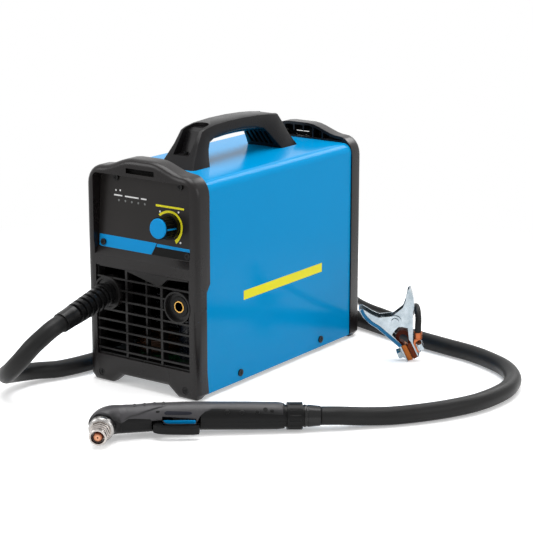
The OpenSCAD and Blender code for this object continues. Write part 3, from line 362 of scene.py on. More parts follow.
def dressed(name, material, edge=0.3 * MM, angle=35, body=None):
    """Stands for a CAD node: its solid with smooth faces, and edges over the angle rounded by edge."""
    shape = bmesh.new()
    shape.from_mesh(frame["nodes"][name].data)
    bmesh.ops.remove_doubles(shape, verts=shape.verts, dist=2e-6)
    bmesh.ops.dissolve_limit(shape, angle_limit=math.radians(0.4), verts=shape.verts, edges=shape.edges)
    for face in shape.faces:
        face.smooth = True
    for line in shape.edges:
        line.smooth = line.is_manifold and line.calc_face_angle(0) < math.radians(angle)
    mesh = bpy.data.meshes.new(name + "_piece")
    shape.to_mesh(mesh)
    shape.free()
    mesh.materials.append(material)
    piece = bpy.data.objects.new(name + "_piece", mesh)
    bpy.context.collection.objects.link(piece)
    if edge:
        bevel = piece.modifiers.new("edge", "BEVEL")
        bevel.width = edge
        bevel.segments = 2
        bevel.limit_method = "ANGLE"
        bevel.angle_limit = math.radians(angle)
        bevel.harden_normals = True
    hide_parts(name)
    if body is None:
        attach(piece, body_of[name])
    return piece


body_of = {n: body for body, members in frame["record"]["behaviour"]["bodies"].items() for n in members}

# Moulded ABS: near black and matt, the grain breaks up the gloss so that edges shine softly.
moulded_abs = finish("moulded_grained_abs", ("#120F0F", "#171414"), 0.28, 0.7 * MM, 0.04 * MM, specular=0.3)
for part in ("front_bezel", "rear_bezel"):
    dressed(part, moulded_abs, 0.5 * MM)

# Near black slabs of painted shade that keep light out of the humps: a strip on the floor of the front
# hump's hollow, and one across its strap slot, which closes that slot.
shade_slab_black = finish("painted_shade_slab", ("#0E0E0E", "#151515"), 0.9, 0.5 * MM, 0.1 * MM, specular=0.2)
slab_half, slab_z = 20, (211.4, 218.5)
gap_x, gap_z = (-13, 5), (213.4, 214.6)


def slab(name, outline, low, high, material):
    """A plate between two heights: the outline's points at low and at high, joined and capped."""
    flat = np.array(outline, float)
    grid = np.stack([np.column_stack([flat, np.full(len(flat), z)]) for z in (low, high)])
    piece = surface(name, grid * MM + home, material, caps=True)
    piece.data.shade_flat()
    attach(piece, "unit")
    return piece


slab("hump_shade_slab", rectangle(-29, 29, 9.5, 19), 211.35, 212.0, shade_slab_black)
slab("hump_shade_slab_back", rectangle(-slab_half, slab_half, 5, 7.5), *slab_z, shade_slab_black)
# The same dark slabs of painted shade fill the rear hump's strap slot, in four pieces round a narrow gap that
# stays open.
rear_face = (float(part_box("rear_bezel")[1][1]) - home[1]) / MM
for k, (left, right, low, high) in enumerate([
        (-slab_half, gap_x[0], *slab_z), (gap_x[1], slab_half, *slab_z),
        (*gap_x, slab_z[0], gap_z[0]), (*gap_x, gap_z[1], slab_z[1])]):
    slab("rear_hump_shade_slab_%d" % k, rectangle(left, right, rear_face - 6, rear_face - 3), low, high, shade_slab_black)

# ---------- louvred insert ----------
# Clipped into the front bezel from behind, one ABS moulding with sloped blades, two ribs and the
# bosses of both ports. Air leaves through it.
louvre_abs = finish("moulded_satin_abs", ("#171616", "#1C1B1B"), 0.3, 0.8 * MM, 0.03 * MM, specular=0.25)
dressed("front_grille", louvre_abs, 0.25 * MM)

# ---------- control panel ----------
# Flat ABS plate held by four screws in the tilted recess, pad printed with bands, a scale round
# the knob and plain marks over the lamps.
panel_origin = np.array([0, 6.6, 139.6])
panel_tilt = math.radians(5)


def on_panel(x, out, v):
    """Panel place to the frame: x across, out in front of its face, v up its slope."""
    x, out, v = np.broadcast_arrays(np.asarray(x, float), out, v)
    y = -out * math.cos(panel_tilt) + v * math.sin(panel_tilt)
    z = out * math.sin(panel_tilt) + v * math.cos(panel_tilt)
    return (np.stack([x, y, z], axis=-1) + panel_origin) * MM + home


def on_side(y, out, z):
    """Place on the cover's right side: y back from the front, out from the sheet, z up."""
    y, out, z = np.broadcast_arrays(np.asarray(y, float), out, z)
    return np.stack([66 + out, y, z], axis=-1) * MM + home


def printed(name, outline, material, place, lift=0.12, body="unit"):
    """A print as a thin slab: the outline raised off its face by lift, sides down to the face."""
    flat = np.array(outline, float)
    grid = np.stack([place(flat[:, 0], h, flat[:, 1]) for h in (0.0, lift)])
    piece = surface(name, grid, material, caps=True)
    piece.data.shade_flat()
    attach(piece, body)
    return piece


def disc(x, v, r, n=24):
    """Outline of a circle: (x + r cos a, v + r sin a)."""
    a = np.linspace(0, 2 * np.pi, n, endpoint=False)
    return np.stack([x + r * np.cos(a), v + r * np.sin(a)], axis=1)


def bar(start, end, width):
    """Outline of a straight bar from start to end, half its width to either side."""
    a, b = np.array(start, float), np.array(end, float)
    side = np.array([a[1] - b[1], b[0] - a[0]]) / np.linalg.norm(b - a) * width / 2
    return np.array([a - side, b - side, b + side, a + side])


panel_abs = finish("moulded_satin_panel", ("#1E1C1B", "#23201F"), 0.34, 0.9 * MM, 0.03 * MM, specular=0.22)
dressed("control_panel", panel_abs, 0.3 * MM)
# Pad printed inks: smooth and even, a little glossier than the plate under them.
ink_blue = finish("pad_printed_blue", ("#0186C6", "#048CCC"), 0.4, 0.6 * MM, 0.005 * MM, specular=0.12)
ink_yellow = finish("pad_printed_yellow", ("#E3DA22", "#ECE433"), 0.4, 0.6 * MM, 0.005 * MM, specular=0.12)
ink_black = finish("pad_printed_black", ("#070707", "#0B0B0B"), 0.4, 0.6 * MM, 0.005 * MM, specular=0.12)
ink_white = finish("pad_printed_white", ("#D9D9D9", "#E2E2E2"), 0.35, 0.6 * MM, 0.005 * MM, specular=0.3)

printed("print_band", [[-57, -4.8], [7.3, -4.9], [12.9, 5.5], [13.4, 7.3], [-57, 7.4]], ink_blue, on_panel)
printed("print_black_band", [[8.4, -4.9], [53.7, -5.0], [53.7, 3.7], [13.3, 3.8], [12.9, 5.5]], ink_black,
        on_panel)
printed("print_thin_band", [[13.4, 3.9], [53.7, 3.8], [53.7, 6.7], [14.4, 6.9]], ink_blue, on_panel)
printed("print_line", bar([10.7, 43.5], [44.3, 43.5], 1.9), ink_yellow, on_panel)
knob_x, knob_v = 28.8, 25.1
# scale round the knob: angle, inner radius, outer radius
scale = np.array([[145, 15.0, 17.4], [125, 13.8, 16.2], [98, 12.9, 15.2], [51, 12.7, 14.9],
                  [-8, 12.7, 15.0], [-35, 12.9, 15.6], [-62, 13.4, 17.2]])
turn = np.linspace(145, -62, 64)
inner, outer = (np.stack([knob_x + r * np.cos(np.radians(turn)), knob_v + r * np.sin(np.radians(turn))],
                         axis=1) for r in (np.interp(-turn, -scale[:, 0], scale[:, k]) for k in (1, 2)))


def ribbon(name, low, high, material, place, lift=0.12, body="unit"):
    """A print between two lines of points, as a closed band: low and high edges at lift and at 0."""
    low, high = np.array(low, float), np.array(high, float)
    grid = np.stack([place(low[:, 0], lift, low[:, 1]), place(high[:, 0], lift, high[:, 1]),
                     place(high[:, 0], 0.0, high[:, 1]), place(low[:, 0], 0.0, low[:, 1])], axis=1)
    piece = surface(name, grid, material, caps=True)
    piece.data.shade_flat()
    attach(piece, body)
    return piece


ribbon("print_scale", inner, outer, ink_yellow, on_panel)
for k, (x, v) in enumerate([(15.9, 38.0), (38.0, 39.9), (41.9, 11.5)]):
    printed("print_dot_%d" % k, disc(x, v, 1.0), ink_white, on_panel)
for k, (x, v) in enumerate([(-38.8, 51.8), (-33.5, 52.2)]):
    printed("print_mark_%d" % k, disc(x, v, 0.9), ink_white, on_panel)
for k, (a, b, v) in enumerate([(-40.9, -30.7, 47.2), (-27.4, -10.7, 47.2), (-7.7, -0.9, 47.2)]):
    printed("print_dash_%d" % k, bar([a, v], [b, v], 1.3), ink_white, on_panel)

# Black screws of the panel, cross recessed, steel with black oxide: dark, smooth, a little oily.
black_steel = finish("black_oxide_steel", ("#080808", "#0E0E0F"), 0.4, 0.6 * MM, 0.01 * MM, specular=0.25)
dressed("panel_screws", black_steel, 0)

# ---------- current knob ----------
# Fluted nylon knob on the potentiometer's steel shaft, with a gloss blue cap snapped into its
# face and a blue line on its flank that points at the scale.
knob_nylon = finish("moulded_black_nylon", ("#090909", "#0E0E0F"), 0.34, 0.8 * MM, 0.03 * MM, specular=0.15)
dressed("knob", knob_nylon, 0.2 * MM)
gloss_blue = finish("gloss_blue_nylon", ("#0184C4", "#038ACA"), 0.35, 0.9 * MM, 0.01 * MM, specular=0.12)
dressed("knob_cap", gloss_blue, 0.2 * MM)


def on_knob(across, out, along):
    """Knob's flank to the frame: along out of the panel, across down its side, out from the flank."""
    across, out, along = np.broadcast_arrays(np.asarray(across, float), out, along)
    return on_panel(knob_x + 10.5 + out, along, knob_v + across)


printed("knob_line", rectangle(-0.7, 0.7, 0.6, 17.4), gloss_blue, on_knob, 0.3, "knob")
# Potentiometer: drawn aluminium can, dull silver, and a ground steel shaft.
drawn_aluminium = finish("drawn_aluminium", ("#A9ACAF", "#B6B9BB"), 0.36, 0.5 * MM, 0.01 * MM, metallic=1.0)
dressed("potentiometer", drawn_aluminium, 0.15 * MM)
# Zinc plate over steel: bright, slightly blue, with fine marks of the press and the plating.
zinc = finish("bright_zinc_plate", ("#6E7C84", "#C6CDD1"), 0.24, 0.7 * MM, 0.02 * MM, metallic=1.0,
              drift_size=8 * MM)
dressed("potentiometer_shaft", zinc, 0.15 * MM)

# ---------- control board ----------
# Glass epoxy board behind the panel on four pillars, green solder mask, with five lamp posts that
# end in the panel's holes.
solder_mask = finish("green_solder_mask", ("#17502F", "#1F5C38"), 0.3, 0.9 * MM, 0.02 * MM,
                     drift_size=8 * MM)
dressed("control_board", solder_mask, 0)
# Lamp lenses: clear milky polycarbonate, unlit.
lens = finish("milky_lens", ("#6A6D6C", "#777A79"), 0.2, 0.8 * MM, 0.005 * MM)
for k in range(5):
    printed("lamp_lens_%d" % k, disc(-35 + 8 * k, 42.5, 1.1), lens,
            lambda x, out, v: on_panel(x, out - 0.45, v), 0.2)

# ---------- earth socket ----------
# Brass socket of the work lead, turned from bar and held in a black nylon bush by a hexagon nut.
# The blind bore is coloured dark brown, painted shade in the hole.


wave_unit = 0.314      # scale of a wave texture whose bands are one unit apart


def turned(name, colours, roughness, middle, rotation, pitch, depth, metallic=1.0):
    """The axis is the rotation's Z through middle."""
    material = finish(name, colours, roughness, 0.5 * MM, 0.004 * MM, metallic=metallic)
    tree = material.node_tree
    place = node(tree, "ShaderNodeMapping", {"Vector": in_object(tree), "Location": tuple(middle),
                                             "Rotation": rotation}, vector_type="TEXTURE")
    rings = node(tree, "ShaderNodeTexWave", {"Vector": place.outputs["Vector"], "Scale": wave_unit / pitch},
                 wave_type="RINGS", rings_direction="Z", name="rings")
    raised(material, rings.outputs["Fac"], depth, 0.5)
    return material, place.outputs["Vector"]


def off_axis(tree, place):
    """Distance of a place from its Z axis."""
    split = node(tree, "ShaderNodeSeparateXYZ", {0: place}).outputs
    return length_of(tree, X=split["X"], Y=split["Y"])


socket_at = np.array([42.9, 2.6, 89.9]) * MM + home
brass, from_axis = turned("turned_brass", ("#D9A552", "#E5B766"), 0.24, socket_at, (math.pi / 2, 0, 0),
                          0.5 * MM, 0.02 * MM)
bore_r = 4.55 * MM
# painted shade: the bore's walls are coloured dark brown
bore_shade = calc(brass.node_tree, "LESS_THAN", off_axis(brass.node_tree, from_axis), bore_r)
overlaid(brass, bore_shade, "#3A1208")
dressed("socket_insert", brass, 0.25 * MM)
bush_nylon = finish("turned_black_nylon", ("#0C0C0C", "#121212"), 0.34, 0.8 * MM, 0.03 * MM, specular=0.18)
dressed("socket_insulator", bush_nylon, 0.3 * MM)

# ---------- strain relief ----------
# Ribbed boot round the torch lead where it leaves the unit, moulded in soft PVC over the lead and
# held behind the front by its flange. The ribs let it bend without a kink.
soft_pvc = finish("moulded_soft_pvc", ("#0C0C0C", "#121213"), 0.25, 0.9 * MM, 0.04 * MM, specular=0.3)
dressed("torch_strain_relief", soft_pvc, 0.35 * MM, angle=30)

# ---------- cover ----------
# Sheet steel 1.2 mm, folded to a U over the bezels' lips, powder coated blue outside, with painted shade near
# black on its inner faces, and a printed stripe on each side. Four screws hold it to the tray.
cover_half, cover_top, cover_corner = 66 * MM, 209.5 * MM, 10 * MM

# Powder coat: even bright blue, glossy, with the shallow orange peel of the melted powder.
blue_powder = finish("blue_powder_coat", ("#0089C4", "#018DC8"), 0.14, 2.2 * MM, 0.02 * MM, specular=0.06,
                     drift_size=90 * MM)
tree = blue_powder.node_tree
from_home = node(tree, "ShaderNodeVectorMath", {0: in_object(tree), 1: tuple(-home)}, operation="ADD")
sides = node(tree, "ShaderNodeSeparateXYZ", {0: from_home.outputs[0]}).outputs
# painted shade: everything nearer to the corner's middle than the outer face less 0.7 mm is coloured near
# black
past_x, past_z = (calc(tree, "MAXIMUM", calc(tree, "SUBTRACT", value, limit), 0.0) for value, limit in (
    (calc(tree, "ABSOLUTE", sides["X"]), cover_half - cover_corner), (sides["Z"], cover_top - cover_corner)))
shaded_inside = calc(tree, "LESS_THAN", length_of(tree, X=past_x, Z=past_z), cover_corner - 0.7 * MM)
overlaid(blue_powder, shaded_inside, "#0B0B0C")
dressed("cover", blue_powder, 0.3 * MM)

stripe = rectangle(74.6, 209.8, 84.5, 93.7)
printed("stripe_right", stripe, ink_yellow, on_side, 0.1)
printed("stripe_left", stripe, ink_yellow, lambda y, out, z: on_side(y, -132 - out, z), 0.1)
for part in ("cover_screws", "bezel_screws"):
    dressed(part, black_steel, 0)

# ---------- base tray ----------
# Zinc plated sheet with upturned rims, slotted for air, that carries the board on four posts.
tray_steel = finish("zinc_plated_sheet", ("#9DA3A7", "#B2B7BA"), 0.38, 0.9 * MM, 0.02 * MM, metallic=1.0,
                    drift_size=10 * MM)
dressed("base_tray", tray_steel, 0)

# ---------- carry handle ----------
# Hollow arch of glass filled nylon, moulded with a pocket at each end for its screw, ribbed under
# the rear leg and screwed down through the cover.
handle_nylon = finish("moulded_glass_filled_nylon", ("#131213", "#171617"), 0.3, 0.8 * MM, 0.04 * MM,
                      specular=0.16)
dressed("carry_handle", handle_nylon, 0.7 * MM)
dressed("handle_screws", black_steel, 0)
# Pad under the grip for the fingers, black TPE and smooth, so that the blue cover shines in it.
grip_tpe = finish("moulded_smooth_tpe", ("#0A0D12", "#0D1117"), 0.24, 0.9 * MM, 0.02 * MM, specular=0.5)
# along the grip: place back from the front, height of the grip's underside, depth of the pad
grip_rows = np.array([[91.5, 232.4, 0.2], [97, 234, 2.4], [108, 235.8, 4.6], [124, 237, 5.2],
                      [147, 236.8, 5.2], [166, 235, 4.6], [178, 232.4, 2.6], [183, 229.4, 0.2]])


def grip_pad(half_width, columns):
    """Half an ellipse under the grip: x = half_width cos t, z = underside + 0.3 - depth sin t.

    Where sin t is below 0 the depth is 0.6, which sinks the back into the grip."""
    y, under, depth = through(grip_rows, 6).T
    turn = np.linspace(0, 2 * np.pi, columns, endpoint=False)
    drop = np.where(np.sin(turn) > 0, depth[:, None] * np.sin(turn), 0.6 * np.sin(turn))
    x, y, z = np.broadcast_arrays(half_width * np.cos(turn), y[:, None], under[:, None] + 0.3 - drop)
    return np.stack([x, y, z], axis=-1) * MM + home


pad = surface("handle_grip_pad", grip_pad(13.2, 32), grip_tpe, caps=True)
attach(pad, "unit")

# ---------- rear ----------
# Steel rear sheet in the rear bezel, black powder coated, with the fan behind its vent, the
# power switch, the mains gland and the brass air inlet with its valve.
black_powder = finish("black_powder_coat", ("#1A1A1B", "#202021"), 0.45, 1.2 * MM, 0.03 * MM, specular=0.4)
dressed("rear_panel", black_powder, 0.2 * MM)
dressed("rear_panel_screws", black_steel, 0)
# Fan: black PBT, satin, frame and rotor from the same compound.
fan_pbt = finish("moulded_satin_pbt", ("#141415", "#1A1A1B"), 0.36, 0.8 * MM, 0.03 * MM)
for part in ("fan_frame", "fan_rotor"):
    dressed(part, fan_pbt, 0.3 * MM)
# Switch: black nylon body and a red rocker, both smooth and glossy.
switch_nylon = finish("moulded_gloss_nylon", ("#101011", "#151516"), 0.25, 0.9 * MM, 0.01 * MM)
dressed("power_switch", switch_nylon, 0.25 * MM)
rocker_red = finish("moulded_red_polycarbonate", ("#8E1717", "#981C1B"), 0.22, 0.9 * MM, 0.008 * MM)
dressed("power_rocker", rocker_red, 0.3 * MM)
dressed("mains_gland", switch_nylon, 0.3 * MM)
plain_brass = finish("machined_brass", ("#C49A48", "#CFA657"), 0.28, 0.5 * MM, 0.01 * MM, metallic=1.0)
dressed("air_inlet", plain_brass, 0.3 * MM)
cast_aluminium = finish("cast_aluminium", ("#9C9FA2", "#A8ABAD"), 0.45, 0.9 * MM, 0.04 * MM, metallic=1.0)
dressed("air_valve", cast_aluminium, 0.3 * MM)

# ---------- inverter ----------
# Main board with its two extruded heat sinks, ferrite transformer, wound choke and the tall
# capacitors in their shrink sleeves, all behind the louvres.
dressed("main_board", solder_mask, 0)
# Extruded aluminium: satin, with the die's lines along the fins, here too fine to show.
extruded_aluminium = finish("extruded_aluminium", ("#6E7174", "#7A7D80"), 0.42, 0.7 * MM, 0.02 * MM,
                            metallic=1.0)
dressed("heatsinks", extruded_aluminium, 0)
# Varnished windings: dark copper brown with the ridges of 1.5 mm wire.
winding = finish("varnished_winding", ("#38210F", "#4A2C16"), 0.32, 0.9 * MM, 0.02 * MM, metallic=0.3)
tree = winding.node_tree
wire = node(tree, "ShaderNodeTexWave", {"Vector": in_object(tree), "Scale": wave_unit / (1.5 * MM),
                                        "Distortion": 0.6}, bands_direction="Z")
raised(winding, wire.outputs["Fac"], 0.4 * MM)
for part in ("main_transformer", "output_choke"):
    dressed(part, winding, 0.3 * MM)
sleeve_pvc = finish("shrink_sleeve_pvc", ("#0D131F", "#121A28"), 0.22, 0.9 * MM, 0.01 * MM)
dressed("capacitors", sleeve_pvc, 0.4 * MM)

# ---------- torch body ----------
# Handle of two half shells in black nylon and the bent head screwed into them. A grey cap is
# moulded over the upper side from head to tail, with a window over the trigger's slide.
torch_origin = np.array([49.1, -118.7, 17.2])
heading, fall, roll = math.radians(39.5), math.radians(1.34), math.radians(8)


def turned_about(axis, angle):
    """Rotation matrix about one of the frame's axes, 0 for x to 2 for z, by an angle in radians."""
    c, s = math.cos(angle), math.sin(angle)
    m = np.eye(3)
    i, j = [(1, 2), (2, 0), (0, 1)][axis]
    m[i, i] = m[j, j] = c
    m[i, j], m[j, i] = -s, s
    return m


torch_turn = turned_about(2, heading) @ turned_about(1, fall) @ turned_about(0, roll)
torch_r = 12.4
# place along the handle, offset of its middle to the nozzle's side, radius over torch_r
torch_rows = np.array([
    [17.8, 8.8, -0.6], [26, 7.2, -0.3], [36, 5.2, -0.1], [48, 3, 0], [60, 1.4, 0.1], [75, 0.3, 0.2],
    [90, 0, 0.2], [130, 0, 0.1], [158, 0, -0.2], [164.8, 0, -1]])
elbow_middle, elbow_r = np.array([17.8, -26.0]), 17.2


def in_torch(x, y, z):
    """Torch place to the frame: x along the handle, -y to the trigger, z up."""
    return (np.stack(np.broadcast_arrays(x, y, z), axis=-1) @ torch_turn.T + torch_origin) * MM + home


def on_torch(s, lift, a):
    """Place on the torch's skin: s along, a round from the trigger's side to the top, in degrees.

    Middle plus r = torch_r + the row's radius + lift, towards (-cos a, sin a). Where s is below
    17.8 the middle follows the elbow: its middle plus elbow_r turned by (17.8 - s) / elbow_r."""
    s, lift, a = np.broadcast_arrays(np.asarray(s, float), lift, a)
    a = np.radians(a)
    bent = np.maximum(torch_rows[0, 0] - s, 0) / elbow_r
    out = np.stack([-np.sin(bent), np.cos(bent)], axis=-1)
    straight = np.stack([s, -np.interp(s, torch_rows[:, 0], torch_rows[:, 1])], axis=-1)
    middle = np.where((bent > 0)[..., None], elbow_middle + elbow_r * out, straight)
    r = torch_r + np.interp(s, torch_rows[:, 0], torch_rows[:, 2]) + lift
    flat = middle - (r * np.cos(a))[..., None] * out
    return in_torch(flat[..., 0], flat[..., 1], r * np.sin(a))


crease_s, crease_a = [16, 20.5, 25.5, 34.5, 42, 52, 60], [14, 27, 36, 44, 54, 66, 74]


def fullness(s, a):
    """The cap stands proud over the bend: up to 2.4 mm at s = 6, none past s = 30 or at its edges.

    Above a crease that climbs along the neck it stands up to 1 mm prouder, over 4 degrees."""
    along = np.interp(s, [-6, -3, 2, 6, 11, 18, 24, 30], [0.7, 1.5, 2.3, 2.4, 2.2, 1.3, 0.5, 0])
    round_it = np.clip((a - 30) / 55, 0, 1) * np.clip((205 - a) / 40, 0, 1)
    crease = np.interp(s, crease_s, crease_a)
    step = np.clip((a - crease) / 4, 0, 1) * np.clip((150 - a) / 60, 0, 1)
    return along * round_it * (2 - round_it) + step * np.interp(s, [16, 22, 48, 60], [0, 1.0, 0.9, 0])


def laid(name, s, low, high, columns, material, lift=0.4, body="unit"):
    """A skin on the torch between two angles at each s: a closed loop out at lift, back at -0.25."""
    s = np.asarray(s, float)
    t = np.linspace(0, 1, columns)
    over = np.asarray(low, float)[:, None] * (1 - t) + np.asarray(high, float)[:, None] * t
    round_edge = np.minimum(1, 16 * np.minimum(t, 1 - t)) ** 0.5
    top = on_torch(s[:, None], -0.2 + (lift + 0.2) * round_edge + fullness(s[:, None], over), over)
    under = on_torch(s[:, None], -0.25, over[:, ::-1])
    piece = surface(name, np.concatenate([top, under], axis=1), material, caps=True)
    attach(piece, body)
    return piece


# Moulded nylon of the shells: nearly black, satin.
shell_nylon = finish("moulded_satin_nylon", ("#0B0B0B", "#101011"), 0.34, 0.8 * MM, 0.04 * MM, specular=0.15)
for part in ("torch_shell_upper", "torch_shell_lower"):
    dressed(part, shell_nylon, 0.1 * MM)
dressed("torch_head", shell_nylon, 0.4 * MM)

# Grey cap: softer, more matt nylon with a fine grain, coloured black towards its lower edge: a crisp two-tone
# edge along the neck and the window, and over the head and the grip a broad blend to black that is painted
# shade.
cap_nylon = finish("moulded_grey_nylon", ("#3B3A3C", "#444345"), 0.36, 0.8 * MM, 0.05 * MM, specular=0.25)
tree = cap_nylon.node_tree
tone_and_shade = node(tree, "ShaderNodeAttribute", attribute_name="tone_and_shade").outputs["Fac"]
tone_shade_mix = node(tree, "ShaderNodeMix", {"Factor": tone_and_shade, 6: linear("#0E0E0F"),
                                        7: tree.nodes["shade"].outputs[2]}, data_type="RGBA")
tree.links.new(tone_shade_mix.outputs[2], tree.nodes["Principled BSDF"].inputs["Base Color"])

# lower edge of the cap: place along the handle and angle
cap_edge = np.array([
    [-4, 40], [6, 26], [12, 16], [17.7, 10.5], [23.9, 27.7], [30, 27], [43.4, 19], [45.5, 11.5],
    [54.1, 11.5], [54.3, 26.6], [84.6, 11.9], [84.8, -8], [88.1, 24], [92.6, 42.5], [98.9, 50], [112, 46],
    [163, 30]])
cap_s = np.unique(np.r_[np.arange(-4, 163.6, 2.0), np.arange(14, 62, 0.5), cap_edge[:, 0], 163])
cap_low = np.interp(cap_s, cap_edge[:, 0], cap_edge[:, 1])
cap_high = np.interp(cap_s, [-4, 20, 34], [204, 204, 158])
cap_columns = 96
cap = laid("torch_cap", cap_s, cap_low, cap_high, cap_columns, cap_nylon)
lip_s = np.array([54.2, 55.5, 57, 60, 68, 76, 82, 84.9])
lip = laid("torch_cap_lip", lip_s, [10, 3, -5, -9, -10, -10, -10, -9], [12, 9, -1, -4, -4.5, -4.5, -4, -3.5],
           6, cap_nylon)
# share of grey over the cap's columns: it comes in over 3 degrees along the neck and the window, a two-tone
# edge, and over
# 34 to 60 degrees on the head and the grip, which is painted shade; a darker band along the crease is painted
# crease shade
soft = np.interp(cap_s, [0, 14, 20, 95, 104, 164], [60, 40, 3, 3, 34, 40])[:, None]
angle = cap_low[:, None] + np.linspace(0, 1, cap_columns) * (cap_high - cap_low)[:, None]
share = np.clip((angle - cap_low[:, None]) / soft, 0, 1)
share = share * share * (3 - 2 * share)
crease_shade = np.interp(cap_s, [16, 22, 50, 60], [0, 0.7, 0.6, 0])[:, None]
past_crease = angle - np.interp(cap_s, crease_s, crease_a)[:, None] - 1.5
share *= 1 - crease_shade * np.exp(-(past_crease / 3.2) ** 2)


def store_tone_and_shade(piece, share):
    """Stores the share of grey that the cap's material reads, painted shade included, for each vertex."""
    values = np.broadcast_to(share, len(piece.data.vertices)).astype(np.float32)
    piece.data.attributes.new("tone_and_shade", "FLOAT", "POINT").data.foreach_set("value", values)


store_tone_and_shade(cap, np.concatenate([share, share[:, ::-1]], axis=1).ravel())
store_tone_and_shade(lip, 1.0)

# Nitrile ring that seals the joint between the head and the shells.
ring_s, ring_out = np.array([[17.1, 17.3, 18.3, 18.5], [-0.8, 0.06, 0.06, -0.8]])[..., None]
head_seal = surface("torch_head_seal", on_torch(ring_s, ring_out, np.linspace(0, 360, 49)[None, :-1]),
                    shell_nylon, caps=True)
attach(head_seal, "unit")

# Small grip ridges across the top of the neck, moulded with the cap.
for k, s in enumerate((29.5, 38.5, 47.5, 55.5)):
    store_tone_and_shade(laid("torch_ridge_%d" % k, [s - 0.9, s - 0.4, s + 0.4, s + 0.9], [78] * 4, [112] * 4, 12,
               cap_nylon, 1.0), 1.0)

# Bare recessed field over the window, and a steel screw's recess and four round studs on the grip.
field_black = finish("moulded_recess_black", ("#12131C", "#171923"), 0.4, 0.8 * MM, 0.02 * MM, specular=0.2)


def on_grip(s, out, a):
    """on_torch with its angle counted in millimetres round the skin from the trigger's side."""
    return on_torch(s, 0.43 + out, np.degrees(np.asarray(a, float) / torch_r))


def around(a):
    """Millimetres round the skin at an angle in degrees."""
    return math.radians(a) * torch_r


field = [[s, around(a)] for s, a in ((57.5, 34), (78.5, 31), (80.6, 34), (81.0, 39), (79.4, 43.5),
                                     (58.5, 49), (56.4, 45), (56.0, 39))]
printed("torch_field", field, field_black, on_grip, 0.12)
pit_black = finish("recess_shadow_black", ("#050505", "#080808"), 0.6, 0.8 * MM, 0.02 * MM, specular=0.2)
recess_s, recess_stretch = 50.2, 1.9
printed("torch_pin_recess", disc(recess_s, around(48.5), 1.0) * [recess_stretch, 1]
        - [(recess_stretch - 1) * recess_s, 0], pit_black, on_grip, 0.1)
printed("torch_screw_recess", disc(146.9, around(53), 2.1), pit_black, on_grip, 0.1)


def stud(name, s, a, r, height, material):
    """A low dome on the skin: rings of radius r sin t at height cos t, t from 90 degrees to 3."""
    t = np.radians(np.linspace(90, 3, 8))[:, None]
    b = np.linspace(0, 2 * np.pi, 24, endpoint=False)[None]
    grid = on_grip(s + r * np.sin(t) * np.cos(b), height * np.cos(t) - 0.15,
                   around(a) + r * np.sin(t) * np.sin(b))
    piece = surface(name, grid, material, caps=True)
    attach(piece, "unit")


for k, (s, a) in enumerate([(112.4, 43), (125.8, 41), (139.6, 43), (152.9, 47)]):
    stud("torch_stud_%d" % k, s, a, 2.0, 0.9, shell_nylon)

# ---------- trigger ----------
# Lever of black nylon on a steel pin through the shells, with the blue slide of its safety catch
# beside it, and the micro switch inside that it works.


def bent_plate(name, outline, low, high, edge, material, body):
    """A plate cut to an outline in the torch's plane, from z low to high, its rims drawn in by edge.

    Four outlines are joined: the first and last are shrunk towards the middle by edge."""
    flat = np.array(outline, float)
    e = np.roll(flat, -1, axis=0) - flat
    n = np.stack([e[:, 1], -e[:, 0]], axis=1) / np.linalg.norm(e, axis=1, keepdims=True)
    m = n + np.roll(n, 1, axis=0)
    m /= np.maximum(0.5 * np.sum(m * m, axis=1, keepdims=True), 0.6)
    after = np.roll(flat, -1, axis=0)
    inset = flat - m * edge * np.sign(np.sum(flat[:, 0] * after[:, 1] - flat[:, 1] * after[:, 0]))
    grid = np.stack([in_torch(o[:, 0], o[:, 1], np.full(len(flat), z)) for o, z in (
        (inset, low), (flat, low + edge), (flat, high - edge), (inset, high))])
    piece = surface(name, grid, material, caps=True)
    piece.data.shade_flat()
    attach(piece, body)
    return piece


lever = [[46.2, -10], [52, -9], [54, -10], [55, -19.2], [87.8, -19.2], [87.8, -21], [87, -24], [82, -25.2],
         [70, -25.1], [58, -24.6], [53, -23.8], [50, -23], [46.9, -21.2], [46.2, -20.5]]
lever_piece = bent_plate("torch_trigger_lever", lever, -6.7, 0.7, 0.7, knob_nylon, "trigger")
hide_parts("torch_trigger")
slide = [[55.4, -12.4], [84.2, -12.4], [84.2, -13.4], [83.6, -14], [56, -14], [55.4, -13.4]]
slide_piece = bent_plate("torch_trigger_slide", slide, -1.1, 2.0, 0.3, gloss_blue, "trigger")
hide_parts("trigger_key")
pin = bent_plate("trigger_pin_rod", disc(50, -12, 1.5), -8.8, 6.9, 0.2, black_steel, "unit")
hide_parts("trigger_pin")
dressed("trigger_switch", knob_nylon, 0.2 * MM)

# ---------- nozzle ----------
# Nickel plated brass shield cup screwed into the head, a sprung wire guide round the copper
# nozzle, coloured brown towards its rim as painted shade where it sits in the cup, and the copper electrode
# inside.
nozzle_turn = math.radians(80)
nozzle_out = np.array([-math.sin(nozzle_turn), math.cos(nozzle_turn)])
nozzle_at = in_torch(*(elbow_middle + elbow_r * nozzle_out), 0.0)
nozzle_way = in_torch(-math.cos(nozzle_turn), -math.sin(nozzle_turn), 0) - in_torch(0, 0, 0)
nozzle_euler = Vector(nozzle_way).to_track_quat("Z", "Y").to_euler()
nickel = turned("turned_nickel_plate", ("#8F8D8B", "#B5B3B1"), 0.26, nozzle_at, tuple(nozzle_euler),
                0.6 * MM, 0.03 * MM)[0]
dressed("shield_cup", nickel, 0.3 * MM)
guide_steel = finish("drawn_spring_steel", ("#A7A19D", "#B9B3AE"), 0.3, 0.5 * MM, 0.01 * MM, metallic=1.0,
                     drift_size=6 * MM)
dressed("standoff_guide", guide_steel, 0)
